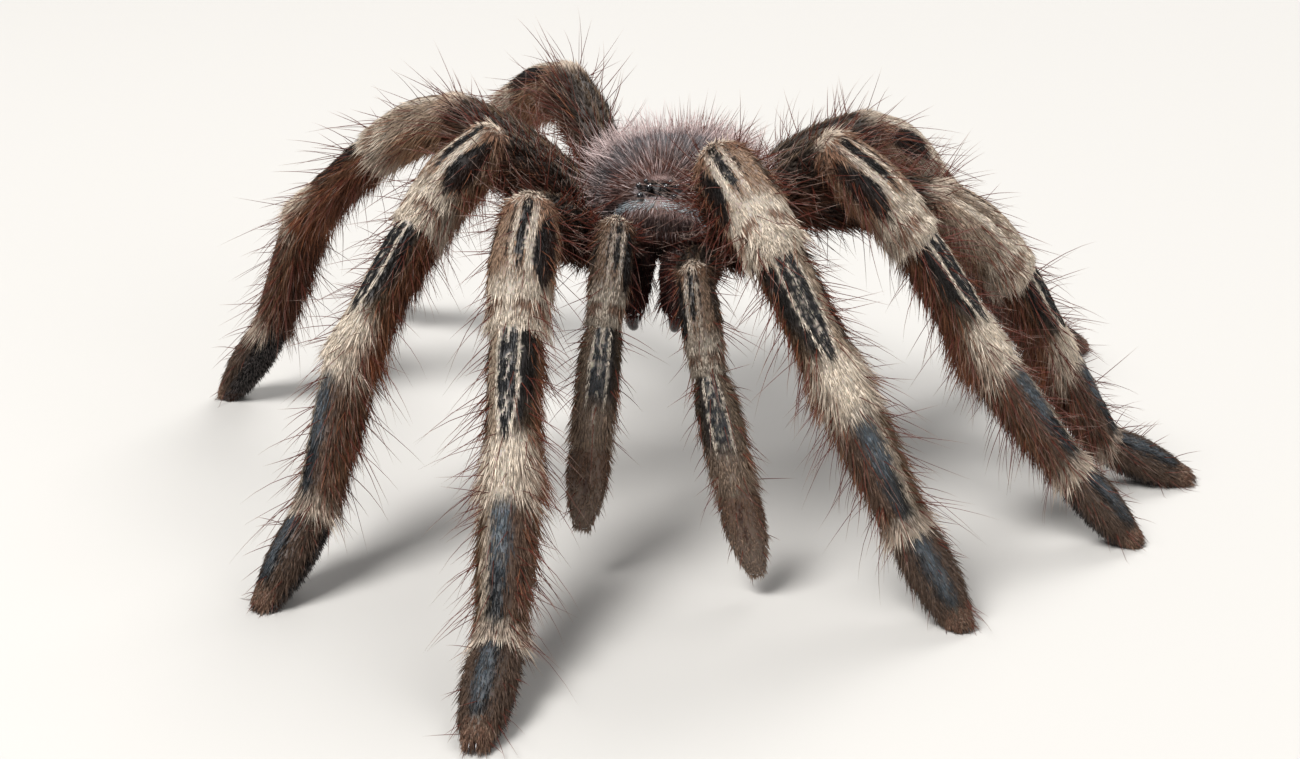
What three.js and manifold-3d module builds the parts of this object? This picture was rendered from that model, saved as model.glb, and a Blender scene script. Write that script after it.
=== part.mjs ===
// A life-size tarantula standing still on its eight feet, its head toward -Y and its left side at +X.
// Millimetres, +Z up, the floor at Z = 0. Every limb is a chain of round-ended lengths that are parted
// at the joints by thin cuts, so that the lengths of a limb meet without touching.

import * as THREE from 'three';
import { mergeVertices } from 'three/addons/utils/BufferGeometryUtils.js';
import Module from 'manifold-3d';

const wasm = await Module();
wasm.setup();

// ---- driving dimensions -------------------------------------------------------------------------

const GAP = 0.3; // between two parts that meet
const CENTRE = { x: 2.75, y: -8.388 }; // middle of the footprint, before it is moved to the origin

const BODY = {
  height: 44.4, // of the carapace's rim above the floor
  noseDown: 13.5, // degrees
  lean: -2.8, // degrees, the left side up
};

const CARAPACE = { bottom: -0.9, edge: 1.1, sides: 20, rings: 5 };
// Half of the carapace's outline, as [sideways, forward], from the clypeus round to the rear notch.
const CARAPACE_OUTLINE = [
  [0, 13.4], [5.6, 12.6], [8.4, 9.0], [11.4, 3.6], [12.5, -2.0], [10.6, -8.4], [5.2, -12.4], [0, -12.6],
];
// Height of the carapace's midline, as [forward, up].
const CARAPACE_RIDGE = [
  [-12.6, 4.2], [-8.0, 7.0], [-2.5, 7.9], [3.0, 8.4], [8.0, 8.2], [10.6, 7.4], [13.4, 5.6],
];

const STERNUM = { halfWidth: 4.7, halfLength: 7.2, forward: 0.6, top: -3.4, bottom: -7.6 };
const ABDOMEN = { front: 13.4, length: 27, halfWidth: 9.6, halfHeight: 8.6, up: -4.0, droop: 35 };
const PEDICEL = { from: 9.0, to: 16.5, up: -4.6, radius: 1.9 };
const SPINNERET = { along: 0.92, length: 6.0, radius: 1.2, tip: 0.7, sideways: 2.0, below: 1.2, splay: 16 };

const CHELICERA = {
  root: [3.15, 10.6, -1.5], end: [3.15, 18.2, -6.6], rootRadius: 2.8, endRadius: 2.35, swell: 0.35,
};
const FANG = { rootRadius: 1.0, tipRadius: 0.3, length: 7.2, drop: 3.4, steps: 7, sides: 8 };

// The eight eyes, as [name, sideways, forward, radius] on one side of the mound.
const EYES = [
  ['anterior_median', 1.15, 10.55, 0.5], ['anterior_lateral', 2.45, 10.95, 0.48],
  ['posterior_lateral', 2.75, 10.0, 0.42], ['posterior_median', 1.75, 9.75, 0.32],
];
const EYE_MOUND = { forward: 10.0, halfWidth: 3.4, halfLength: 1.7, rise: 1.35 };
const EYE_SOCKET = { gap: 0.12, sunk: 0.1 };

// Lengths of the limb's parts, from the trochanter to the claws.
const LENGTHS = {
  1: [25.5, 15.0, 22.4, 21.0, 14.1],
  2: [21.2, 14.6, 21.8, 21.4, 13.5],
  3: [27.2, 14.1, 17.7, 19.3, 12.9],
  4: [22.3, 14.0, 20.8, 25.7, 13.9],
  palp: [17.6, 12.4, 16.4, 12.5],
};
// Where the femur is jointed to the trochanter on the body, as [sideways, forward, up].
const TROCHANTER = {
  1: [11.0, 9.5, -3.5], 2: [12.8, 3.4, -3.6], 3: [12.8, -3.0, -3.6], 4: [10.8, -9.0, -3.5],
  palp: [6.6, 13.0, -4.2],
};
// Where the coxa starts under the carapace.
const COXA_START = {
  1: [7.2, 5.6, -4.3], 2: [8.0, 2.0, -4.3], 3: [8.0, -2.4, -4.3], 4: [7.2, -6.4, -4.3],
  palp: [3.6, 8.9, -5.0],
};
// Thickness of each leg next to leg I.
const STOUTNESS = { 1: 1.0, 2: 0.97, 3: 0.98, 4: 1.0, palp: 0.65 };
// What the tall standing hair adds round the raised knee of leg IV.
const KNEE_CREST = { 1: 0, 2: 0, 3: 0, 4: 0.85 };

// Radii at the joints, out to the tips of the dense coat, and the shape of each length between them.
const RADII = { palpCoxa: 2.4, coxa: 2.85, trochanter: 2.95, knee: 4.15, shin: 4.15, ankle: 4.1, foot: 3.2, tip: 2.5 };
const FEMUR = { swell: 0.7, arch: 0.8, broad: 1.0, deep: 1.06 };
const PATELLA = { swell: 0.55, arch: 0.7, broad: 1.06, deep: 1.04 };
const TIBIA = { swell: -0.25, arch: 0.2, broad: 1.0, deep: 1.0 };
const METATARSUS = { swell: 0.25, arch: -0.3, broad: 1.0, deep: 1.0 };
const TARSUS = { swell: 0.75, arch: 0, broad: 1.12, deep: 0.9 };
const PALP_TIBIA = { swell: 0.5, arch: 0.3, broad: 1.08, deep: 1.0 };
const LIMB_SIDES = 8;
const COXA_SIDES = 6;
const TIP_HEIGHT = 1.6; // of the middle of a foot's tip above the floor

// How each limb is held, in degrees: the femur's bearing from straight ahead and its rise, the turn of
// the limb's own plane, the sideways bend past the patella, and the bend down at each joint.
const POSE = {
  right: {
    1: { bearing: 9, rise: 25.5, turn: -9.5, bend: 3.5, joints: [73, 3.5, -6.5, -19.5] },
    2: { bearing: 49.5, rise: 40, turn: -14.5, bend: 3.5, joints: [75.5, 12, 17.5, -18.5] },
    3: { bearing: 113, rise: 18.5, turn: -15, bend: 2.5, joints: [47.5, 19, 31, -16] },
    4: { bearing: 147, rise: 26.5, turn: -17.5, bend: -2.5, joints: [56.5, 19.5, 9, -20] },
    palp: { bearing: -11, rise: 34, turn: 6, bend: 1, joints: [86.5, 25, 10] },
  },
  left: {
    1: { bearing: -0.5, rise: 44, turn: 33.5, bend: -4.5, joints: [75.5, 51.5, 3, -16] },
    2: { bearing: 52.5, rise: 45, turn: 23.5, bend: -2, joints: [91.5, 17, -6, -5.5] },
    3: { bearing: 80.5, rise: 9.5, turn: 16, bend: -8, joints: [52.5, 23.5, -2.5, -36.5] },
    4: { bearing: 134.5, rise: 13.5, turn: 3, bend: -1.5, joints: [45.5, 13, 4.5, -24.5] },
    palp: { bearing: 3.5, rise: 15.5, turn: 13, bend: -3.5, joints: [77.5, 15, 9.5] },
  },
};

const SIDES = { left: 1, right: -1 };
const UP = new THREE.Vector3(0, 0, 1);

// ---- materials ----------------------------------------------------------------------------------

const velvet = (color) => new THREE.MeshStandardMaterial({ color, roughness: 0.9, metalness: 0 });
const glossy = (color) => new THREE.MeshStandardMaterial({ color, roughness: 0.2, metalness: 0 });

// ---- solids -------------------------------------------------------------------------------------

/** A closed three.js geometry as a solid that can be cut and joined. */
function solidFrom(geometry) {
  const bare = geometry.clone();
  bare.deleteAttribute('normal');
  bare.deleteAttribute('uv');
  const merged = mergeVertices(bare, 1e-4);
  const mesh = new wasm.Mesh({
    numProp: 3,
    vertProperties: new Float32Array(merged.attributes.position.array),
    triVerts: new Uint32Array(merged.index.array),
  });
  mesh.merge();
  return new wasm.Manifold(mesh);
}

/** A solid back as a three.js geometry. */
function geometryFrom(solid) {
  const mesh = solid.getMesh();
  const geometry = new THREE.BufferGeometry();
  geometry.setAttribute('position', new THREE.BufferAttribute(new Float32Array(mesh.vertProperties), 3));
  geometry.setIndex(new THREE.BufferAttribute(new Uint32Array(mesh.triVerts), 1));
  geometry.computeVertexNormals();
  return geometry;
}

/** The solid less everything on the far side of a plane, whose normal points to that side. */
function cutAway(solid, point, normal) {
  const size = 200;
  const box = new THREE.BoxGeometry(size, size, size);
  box.translate(0, 0, size / 2);
  box.applyQuaternion(new THREE.Quaternion().setFromUnitVectors(UP, normal));
  box.translate(point.x, point.y, point.z);
  return solid.subtract(solidFrom(box));
}

/** A round-ended length from Z = 0 to Z = length; across it X is sideways and Y is the limb's back. */
function lengthGeometry(length, from, to, shape, sides, grow = 0) {
  const arcSteps = sides > COXA_SIDES ? 2 : 1;
  const shaftSteps = 3;
  const profile = [new THREE.Vector2(0, -from - grow)];
  for (let i = 1; i <= arcSteps; i++) {
    const angle = (i / (arcSteps + 1)) * (Math.PI / 2);
    profile.push(new THREE.Vector2((from + grow) * Math.sin(angle), -(from + grow) * Math.cos(angle)));
  }
  for (let i = 0; i <= shaftSteps; i++) {
    const t = i / shaftSteps;
    const radius = THREE.MathUtils.lerp(from, to, t) + shape.swell * Math.sin(Math.PI * t) + grow;
    profile.push(new THREE.Vector2(radius, t * length));
  }
  for (let i = arcSteps; i >= 1; i--) {
    const angle = (i / (arcSteps + 1)) * (Math.PI / 2);
    profile.push(new THREE.Vector2((to + grow) * Math.sin(angle), length + (to + grow) * Math.cos(angle)));
  }
  profile.push(new THREE.Vector2(0, length + to + grow));
  const geometry = new THREE.LatheGeometry(profile, sides);
  geometry.rotateX(Math.PI / 2);
  const at = geometry.attributes.position;
  for (let i = 0; i < at.count; i++) {
    const t = THREE.MathUtils.clamp(at.getZ(i) / length, 0, 1);
    at.setX(i, at.getX(i) * shape.broad);
    at.setY(i, at.getY(i) * shape.deep + shape.arch * Math.sin(Math.PI * t));
  }
  return facingOut(geometry);
}

/** The geometry with its faces turned outward. */
function facingOut(geometry) {
  const index = geometry.index.array;
  const at = geometry.attributes.position;
  const corner = [new THREE.Vector3(), new THREE.Vector3(), new THREE.Vector3()];
  let volume = 0;
  for (let i = 0; i < index.length; i += 3) {
    corner.forEach((point, k) => point.fromBufferAttribute(at, index[i + k]));
    volume += corner[0].dot(corner[1].cross(corner[2]));
  }
  if (volume < 0) {
    for (let i = 0; i < index.length; i += 3) {
      [index[i], index[i + 1]] = [index[i + 1], index[i]];
    }
  }
  return geometry;
}

// ---- how a limb is held -------------------------------------------------------------------------

const bodyTurn = new THREE.Quaternion().setFromEuler(
  new THREE.Euler(THREE.MathUtils.degToRad(BODY.noseDown), THREE.MathUtils.degToRad(BODY.lean), 0, 'YXZ'),
);

/** A place on the body, given as [sideways, forward, up], on one side, in the floor's frame. */
function onBody(side, [sideways, forward, up]) {
  const point = new THREE.Vector3(side * sideways, -forward, up).applyQuaternion(bodyTurn);
  return point.add(new THREE.Vector3(-CENTRE.x, -CENTRE.y, BODY.height));
}

/** The joints of a limb and, for each length, its direction, hinge and back. */
function limbChain(side, root, lengths, pose, rise) {
  const rad = THREE.MathUtils.degToRad;
  const ahead = new THREE.Vector3(side * Math.sin(rad(pose.bearing)), -Math.cos(rad(pose.bearing)), 0);
  const direction = ahead.clone().multiplyScalar(Math.cos(rad(rise))).addScaledVector(UP, Math.sin(rad(rise)));
  const hinge = UP.clone().cross(ahead).normalize().applyAxisAngle(direction, rad(pose.turn) * side);
  const joints = [root.clone()];
  const frames = [];
  lengths.forEach((length, i) => {
    if (i === 2) {
      direction.applyAxisAngle(hinge.clone().cross(direction).normalize(), rad(pose.bend) * side);
      hinge.addScaledVector(direction, -hinge.dot(direction)).normalize();
    }
    if (i > 0) {
      direction.applyAxisAngle(hinge, rad(pose.joints[i - 1]));
    }
    const back = direction.clone().cross(hinge);
    frames.push({ direction: direction.clone(), hinge: hinge.clone(), back });
    joints.push(joints[i].clone().addScaledVector(direction, length));
  });
  return { joints, frames };
}

/** The chain of a leg whose femur rises just so far that the foot reaches the floor. */
function standingChain(side, root, lengths, pose) {
  const play = 8;
  let low = pose.rise - play;
  let high = pose.rise + play;
  for (let i = 0; i < 40; i++) {
    const middle = (low + high) / 2;
    const tip = limbChain(side, root, lengths, pose, middle).joints.at(-1);
    if (tip.z > TIP_HEIGHT) {
      high = middle;
    } else {
      low = middle;
    }
  }
  return limbChain(side, root, lengths, pose, (low + high) / 2);
}

// ---- limbs --------------------------------------------------------------------------------------

/** A geometry that stands on Z, turned into a limb's frame and moved to a joint. */
function intoPlace(geometry, frame, joint) {
  const basis = new THREE.Matrix4().makeBasis(frame.hinge, frame.back, frame.direction);
  basis.setPosition(joint);
  return geometry.applyMatrix4(basis);
}

/** The straight round-ended coxa, from its start under the carapace to the trochanter. */
function coxaSolid({ from, to, radius }, grow = 0) {
  const along = to.clone().sub(from);
  const shape = { swell: 0, arch: 0, broad: 1, deep: 1 };
  const geometry = lengthGeometry(along.length(), radius, radius, shape, COXA_SIDES, grow);
  geometry.applyQuaternion(new THREE.Quaternion().setFromUnitVectors(UP, along.normalize()));
  geometry.translate(from.x, from.y, from.z);
  return solidFrom(geometry);
}

/** The solids of a limb's pieces: lengths in one piece are joined, and pieces are parted at the joint. */
function limbSolids(plan, grow = 0) {
  const { joints, frames } = plan.chain;
  const lengthSolid = (i) => {
    const length = joints[i].distanceTo(joints[i + 1]);
    const shape = plan.shapes[i];
    const geometry = lengthGeometry(length, plan.radii[i], plan.radii[i + 1], shape, LIMB_SIDES, grow);
    return solidFrom(intoPlace(geometry, frames[i], joints[i]));
  };
  /** The plane that halves the bend at joint `i`, moved along the limb by `shift`. */
  const partingPlane = (i, shift) => {
    const normal = frames[i - 1].direction.clone().add(frames[i].direction).normalize();
    return { normal, point: joints[i].clone().addScaledVector(normal, shift) };
  };
  return plan.pieces.map(({ first, last }) => {
    let solid = lengthSolid(first);
    for (let i = first + 1; i <= last; i++) {
      solid = solid.add(lengthSolid(i));
    }
    if (first > 0) {
      const { normal, point } = partingPlane(first, GAP / 2);
      solid = cutAway(solid, point, normal.negate());
    }
    if (last < frames.length - 1) {
      const { normal, point } = partingPlane(last + 1, -GAP / 2);
      solid = cutAway(solid, point, normal);
    }
    return solid;
  });
}

const LEG = {
  shapes: [FEMUR, PATELLA, TIBIA, METATARSUS, TARSUS],
  pieces: [
    { name: 'femur', first: 0, last: 0 }, { name: 'patella', first: 1, last: 1 },
    { name: 'tibia', first: 2, last: 2 }, { name: 'metatarsus', first: 3, last: 3 },
    { name: 'tarsus', first: 4, last: 4 },
  ],
};
const PALP = {
  shapes: [FEMUR, PATELLA, PALP_TIBIA, TARSUS],
  pieces: [{ name: 'femur', first: 0, last: 0 }, { name: 'patella_to_tarsus', first: 1, last: 3 }],
};

function legRadii(limb) {
  const scale = STOUTNESS[limb];
  const [knee, ...below] = [RADII.knee, RADII.shin, RADII.ankle, RADII.foot, RADII.tip].map((r) => r * scale);
  return [RADII.trochanter, knee + KNEE_CREST[limb], ...below];
}

function palpRadii() {
  const scale = STOUTNESS.palp;
  const along = [RADII.knee, RADII.shin, RADII.ankle * 1.1, RADII.foot].map((r) => r * scale);
  return [RADII.trochanter * 0.9, ...along];
}

/** Everything that one limb's solids are made from. */
function limbPlan(sideName, limb) {
  const side = SIDES[sideName];
  const isPalp = limb === 'palp';
  const root = onBody(side, TROCHANTER[limb]);
  const pose = POSE[sideName][limb];
  return {
    coxa: { from: onBody(side, COXA_START[limb]), to: root, radius: isPalp ? RADII.palpCoxa : RADII.coxa },
    chain: isPalp
      ? limbChain(side, root, LENGTHS[limb], pose, pose.rise)
      : standingChain(side, root, LENGTHS[limb], pose),
    radii: isPalp ? palpRadii() : legRadii(limb),
    ...(isPalp ? PALP : LEG),
  };
}

/** The coxa and femur of a limb, grown by the gap, which its neighbours keep clear of. */
function rootRoom(plan) {
  return limbSolids(plan, GAP)[0].add(coxaSolid(plan.coxa, GAP));
}

// ---- body ---------------------------------------------------------------------------------------

/** A value read off a list of [place, value] steps, straight between them. */
function readOff(steps, place) {
  let i = 0;
  while (i < steps.length - 2 && place > steps[i + 1][0]) {
    i++;
  }
  const t = THREE.MathUtils.clamp((place - steps[i][0]) / (steps[i + 1][0] - steps[i][0]), 0, 1);
  const ease = t * t * (3 - 2 * t);
  return THREE.MathUtils.lerp(steps[i][1], steps[i + 1][1], (t + ease) / 2);
}

/** Height of the carapace at a place: `out` runs from 0 on the middle line to 1 on the rim. */
function carapaceHeight(sideways, forward, out) {
  const steep = THREE.MathUtils.lerp(2.3, 7, THREE.MathUtils.smoothstep(forward, 4, 11));
  const ridge = readOff(CARAPACE_RIDGE, forward);
  const dome = Math.pow(Math.max(0, 1 - Math.pow(out, steep)), 0.75);
  const across = (sideways / EYE_MOUND.halfWidth) ** 2;
  const along = ((forward - EYE_MOUND.forward) / EYE_MOUND.halfLength) ** 2;
  const mound = EYE_MOUND.rise * Math.exp(-(across + along) * 1.2);
  return CARAPACE.edge + (ridge - CARAPACE.edge) * dome + mound * dome;
}

/** The carapace: a closed dome over its outline, with a flat underside. */
function carapaceGeometry(grow = 0) {
  const half = CARAPACE_OUTLINE.map(([x, y]) => new THREE.Vector2(x, y));
  const mirrored = half.slice(1, -1).reverse().map((p) => new THREE.Vector2(-p.x, p.y));
  const closed = [...half, ...mirrored].map((p) => new THREE.Vector3(p.x, p.y, 0));
  const outline = new THREE.CatmullRomCurve3(closed, true);
  const { sides, rings } = CARAPACE;
  const profile = [new THREE.Vector2(0, -1)];
  profile.push(new THREE.Vector2(1, -1));
  for (let i = rings; i > 0; i--) {
    profile.push(new THREE.Vector2(Math.sin((i / rings) * (Math.PI / 2)), 1));
  }
  profile.push(new THREE.Vector2(0, 1));
  const geometry = new THREE.LatheGeometry(profile, sides);
  const at = geometry.attributes.position;
  for (let i = 0; i < at.count; i++) {
    const out = Math.hypot(at.getX(i), at.getZ(i));
    const turn = (Math.atan2(at.getX(i), at.getZ(i)) / (2 * Math.PI) + 1) % 1;
    const rim = outline.getPoint(turn);
    const reach = out * (1 + grow / 12);
    const sideways = rim.x * out;
    const forward = rim.y * out;
    const lower = at.getY(i) < 0;
    const up = lower ? CARAPACE.bottom - grow : carapaceHeight(sideways, forward, out) + grow;
    at.setXYZ(i, rim.x * reach, -rim.y * reach, up);
  }
  return facingOut(geometry);
}

/** An egg from Z = 0 to Z = length, widest a little past its middle. */
function eggGeometry(length, halfWidth, halfHeight, sides, rings) {
  const profile = [];
  for (let i = 0; i <= rings; i++) {
    const t = i / rings;
    const along = (1 - Math.cos(Math.PI * t)) / 2;
    const radius = i === 0 || i === rings ? 0 : Math.sin(Math.PI * t) ** 0.85 * (0.86 + 0.2 * along);
    profile.push(new THREE.Vector2(radius, along * length));
  }
  const geometry = new THREE.LatheGeometry(profile, sides);
  geometry.rotateX(Math.PI / 2);
  geometry.scale(halfWidth, halfHeight, 1);
  return facingOut(geometry);
}

/** A tapered horn along a curve, closed at both ends. */
function hornGeometry(curve, rootRadius, tipRadius, steps, sides) {
  const profile = [new THREE.Vector2(0, 0)];
  for (let i = 0; i <= steps; i++) {
    profile.push(new THREE.Vector2(THREE.MathUtils.lerp(rootRadius, tipRadius, i / steps), i / steps));
  }
  profile.push(new THREE.Vector2(0, 1));
  const geometry = new THREE.LatheGeometry(profile, sides);
  const at = geometry.attributes.position;
  for (let i = 0; i < at.count; i++) {
    const t = at.getY(i);
    const centre = curve.getPoint(t);
    const tangent = curve.getTangent(t);
    const across = new THREE.Vector3(1, 0, 0);
    const back = tangent.clone().cross(across).normalize();
    centre.addScaledVector(across, at.getX(i)).addScaledVector(back, at.getZ(i));
    at.setXYZ(i, centre.x, centre.y, centre.z);
  }
  return facingOut(geometry);
}

/** A plain round-ended length between two places on the body. */
function barBetween(from, to, radii, swell, sides, grow = 0) {
  const start = new THREE.Vector3(...from);
  const along = new THREE.Vector3(...to).sub(start);
  const shape = { swell, arch: 0, broad: 1, deep: 1 };
  const geometry = lengthGeometry(along.length(), radii[0], radii[1], shape, sides, grow);
  geometry.applyQuaternion(new THREE.Quaternion().setFromUnitVectors(UP, along.normalize()));
  geometry.translate(start.x, start.y, start.z);
  return geometry;
}

/** The body's own parts, each as [name, solid, material], in the body's frame. */
function bodyParts() {
  const parts = [];
  const rad = THREE.MathUtils.degToRad;

  let carapace = solidFrom(carapaceGeometry());
  const eyes = [];
  for (const [sideName, side] of Object.entries(SIDES)) {
    for (const [name, sideways, forward, radius] of EYES) {
      const rim = new THREE.Vector2(sideways, forward).length() / 13;
      const up = carapaceHeight(sideways, forward, rim) + radius * (0.5 - EYE_SOCKET.sunk);
      const ball = new THREE.SphereGeometry(radius, 6, 4).translate(side * sideways, -forward, up);
      const socket = new THREE.SphereGeometry(radius + EYE_SOCKET.gap, 6, 4);
      socket.translate(side * sideways, -forward, up);
      carapace = carapace.subtract(solidFrom(socket));
      eyes.push([`eye_${sideName}_${name}`, solidFrom(ball), glossy('#0c0a0c')]);
    }
  }

  const disc = new THREE.SphereGeometry(1, 12, 5).rotateX(Math.PI / 2);
  disc.scale(STERNUM.halfWidth, STERNUM.halfLength, (STERNUM.top - STERNUM.bottom) / 2);
  disc.translate(0, -STERNUM.forward, (STERNUM.top + STERNUM.bottom) / 2);
  parts.push(['sternum', solidFrom(disc), velvet('#241a17')]);

  const droop = rad(ABDOMEN.droop);
  const egg = eggGeometry(ABDOMEN.length, ABDOMEN.halfWidth, ABDOMEN.halfHeight, 14, 8);
  egg.rotateX(-Math.PI / 2 - droop);
  egg.translate(0, ABDOMEN.front, ABDOMEN.up);
  const stalk = barBetween(
    [0, PEDICEL.from, PEDICEL.up], [0, PEDICEL.to, PEDICEL.up], [PEDICEL.radius, PEDICEL.radius], 0, 8,
  );
  let abdomen = solidFrom(egg).add(solidFrom(stalk));
  const axis = new THREE.Vector3(0, Math.cos(droop), -Math.sin(droop));
  for (const side of Object.values(SIDES)) {
    const root = new THREE.Vector3(side * SPINNERET.sideways, ABDOMEN.front, ABDOMEN.up - SPINNERET.below);
    root.addScaledVector(axis, ABDOMEN.length * SPINNERET.along);
    const away = axis.clone().add(new THREE.Vector3(side * Math.sin(rad(SPINNERET.splay)), 0, 0)).normalize();
    const end = root.clone().addScaledVector(away, SPINNERET.length);
    const spinneret = barBetween(root.toArray(), end.toArray(), [SPINNERET.radius, SPINNERET.tip], 0, 6);
    abdomen = abdomen.add(solidFrom(spinneret));
  }
  parts.push(['abdomen', abdomen, velvet('#1c1412')]);

  const jaws = [];
  for (const [sideName, side] of Object.entries(SIDES)) {
    const mirror = ([sideways, forward, up]) => [side * sideways, -forward, up];
    const { root, end, rootRadius, endRadius, swell } = CHELICERA;
    const bar = (grow) => solidFrom(
      barBetween(mirror(root), mirror(end), [rootRadius, endRadius], swell, LIMB_SIDES, grow),
    );
    const room = bar(GAP);
    const jaw = bar(0).subtract(solidFrom(carapaceGeometry(GAP)));
    const middle = new THREE.Vector3(side * GAP * 0.5, 0, 0);
    jaws.push([`chelicera_${sideName}`, cutAway(jaw, middle, new THREE.Vector3(-side, 0, 0)), room]);

    const from = new THREE.Vector3(...mirror(end));
    const start = from.clone().add(new THREE.Vector3(0, 0.4, -endRadius - GAP));
    const knuckle = start.clone().add(new THREE.Vector3(-side * 0.2, -0.6, -FANG.drop));
    const point = start.clone().add(new THREE.Vector3(-side * 0.6, FANG.length, -FANG.drop * 0.6));
    const curve = new THREE.QuadraticBezierCurve3(start, knuckle, point);
    const fang = hornGeometry(curve, FANG.rootRadius, FANG.tipRadius, FANG.steps, FANG.sides);
    parts.push([`fang_${sideName}`, solidFrom(fang), glossy('#140d0c')]);
  }
  for (const [name, solid] of jaws) {
    parts.push([name, solid, velvet('#1b1110')]);
  }
  parts.push(['carapace', carapace, velvet('#5a4c44')], ...eyes);
  return { parts, jawRooms: jaws.map(([, , room]) => room) };
}

// ---- the whole animal ---------------------------------------------------------------------------

const tarantula = new THREE.Group();

const body = new THREE.Group();
body.position.set(-CENTRE.x, -CENTRE.y, BODY.height);
body.quaternion.copy(bodyTurn);
tarantula.add(body);

const { parts, jawRooms } = bodyParts();
for (const [name, solid, material] of parts) {
  const mesh = new THREE.Mesh(geometryFrom(solid), material);
  mesh.name = name;
  body.add(mesh);
}

/** A solid that was made in the body's frame, turned into the floor's frame. */
function fromBody(geometry) {
  return geometry.applyQuaternion(bodyTurn).translate(-CENTRE.x, -CENTRE.y, BODY.height);
}

const carapaceRoom = solidFrom(fromBody(carapaceGeometry(GAP)));
const jawRoom = solidFrom(fromBody(geometryFrom(jawRooms[0]))).add(solidFrom(fromBody(geometryFrom(jawRooms[1]))));
const sternumRoom = solidFrom(fromBody(
  geometryFrom(parts.find(([name]) => name === 'sternum')[1]).scale(1.06, 1.04, 1.0),
));
const floorPoint = new THREE.Vector3(0, 0, 0);
const down = UP.clone().negate();

for (const sideName of Object.keys(SIDES)) {
  let taken = carapaceRoom.add(sternumRoom).add(jawRoom);
  for (const limb of ['palp', '1', '2', '3', '4']) {
    const plan = limbPlan(sideName, limb);
    const solids = limbSolids(plan);
    solids[0] = solids[0].add(coxaSolid(plan.coxa)).subtract(taken);
    taken = taken.add(rootRoom(plan));
    if (limb !== 'palp') {
      solids[solids.length - 1] = cutAway(solids.at(-1), floorPoint, down);
    }
    solids.forEach((solid, i) => {
      const mesh = new THREE.Mesh(geometryFrom(solid), velvet(i % 2 ? '#8f7350' : '#1a1311'));
      mesh.name = `${limb === 'palp' ? 'palp' : `leg${limb}`}_${sideName}_${plan.pieces[i].name}`;
      tarantula.add(mesh);
    });
  }
}

export default tarantula;
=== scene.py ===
"""A striped tarantula at life size: skin, coat, bristles, eyes, fangs, claws and the stage."""

import math

import bpy
import numpy as np
from mathutils import Matrix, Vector
from mathutils.kdtree import KDTree


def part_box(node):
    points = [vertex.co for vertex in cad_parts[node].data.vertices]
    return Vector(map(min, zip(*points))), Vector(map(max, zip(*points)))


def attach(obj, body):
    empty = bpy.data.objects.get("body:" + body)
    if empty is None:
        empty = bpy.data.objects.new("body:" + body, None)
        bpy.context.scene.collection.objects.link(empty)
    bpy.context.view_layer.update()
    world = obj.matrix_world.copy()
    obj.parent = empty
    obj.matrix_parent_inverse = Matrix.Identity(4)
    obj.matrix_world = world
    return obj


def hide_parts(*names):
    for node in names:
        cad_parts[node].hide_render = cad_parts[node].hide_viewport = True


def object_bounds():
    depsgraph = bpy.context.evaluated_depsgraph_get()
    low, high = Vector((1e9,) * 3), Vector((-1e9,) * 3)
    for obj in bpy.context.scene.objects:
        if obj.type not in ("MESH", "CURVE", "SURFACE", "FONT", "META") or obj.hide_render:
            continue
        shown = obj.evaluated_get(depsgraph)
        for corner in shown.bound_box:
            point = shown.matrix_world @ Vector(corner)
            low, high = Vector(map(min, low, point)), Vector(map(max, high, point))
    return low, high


bl_info = {
    "name": "Striped tarantula",
    "version": (1, 0, 0),
    "blender": (4, 5, 0),
    "location": "3D View > Sidebar > Tarantula",
    "description": "Dresses the tarantula's solids with skin, coat, bristles, eyes, fangs and claws",
    "category": "Object",
}

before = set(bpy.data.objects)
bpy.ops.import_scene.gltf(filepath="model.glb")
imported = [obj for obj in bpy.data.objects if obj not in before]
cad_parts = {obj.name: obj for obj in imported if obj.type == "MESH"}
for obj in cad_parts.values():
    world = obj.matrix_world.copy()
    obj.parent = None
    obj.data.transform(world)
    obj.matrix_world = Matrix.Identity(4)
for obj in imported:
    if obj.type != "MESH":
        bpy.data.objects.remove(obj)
CAD_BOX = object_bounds()

MM = 0.001
TAU = 2 * math.pi
UP = np.array([0.0, 0.0, 1.0])
FLOOR_CLEARANCE = 0.02

# The animal's own measures, in millimetres and degrees, the same as the solids have.
# Lengths run coxa, femur, patella, tibia, metatarsus, tarsus. The head looks along -Y.

CENTRE = (2.75, -8.388)
BODY_HEIGHT = 44.4
NOSE_DOWN = 13.5
BODY_LEAN = -2.8
FOOT_HEIGHT = 1.6

LENGTHS = {
    "leg1": (25.5, 15.0, 22.4, 21.0, 14.1),
    "leg2": (21.2, 14.6, 21.8, 21.4, 13.5),
    "leg3": (27.2, 14.1, 17.7, 19.3, 12.9),
    "leg4": (22.3, 14.0, 20.8, 25.7, 13.9),
    "palp": (17.6, 12.4, 16.4, 12.5),
}
TROCHANTER = {
    "leg1": (11.0, 9.5, -3.5),
    "leg2": (12.8, 3.4, -3.6),
    "leg3": (12.8, -3.0, -3.6),
    "leg4": (10.8, -9.0, -3.5),
    "palp": (6.6, 13.0, -4.2),
}
COXA_START = {
    "leg1": (7.2, 5.6, -4.3),
    "leg2": (8.0, 2.0, -4.3),
    "leg3": (8.0, -2.4, -4.3),
    "leg4": (7.2, -6.4, -4.3),
    "palp": (3.6, 8.9, -5.0),
}
STOUTNESS = {"leg1": 1.0, "leg2": 0.97, "leg3": 0.98, "leg4": 1.0, "palp": 0.65}
COXA_RADIUS = 2.85
PALP_COXA_RADIUS = 2.4
TROCHANTER_RADIUS = 2.95
KNEE_RADIUS = 4.15
SHIN_RADIUS = 4.15
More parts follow.
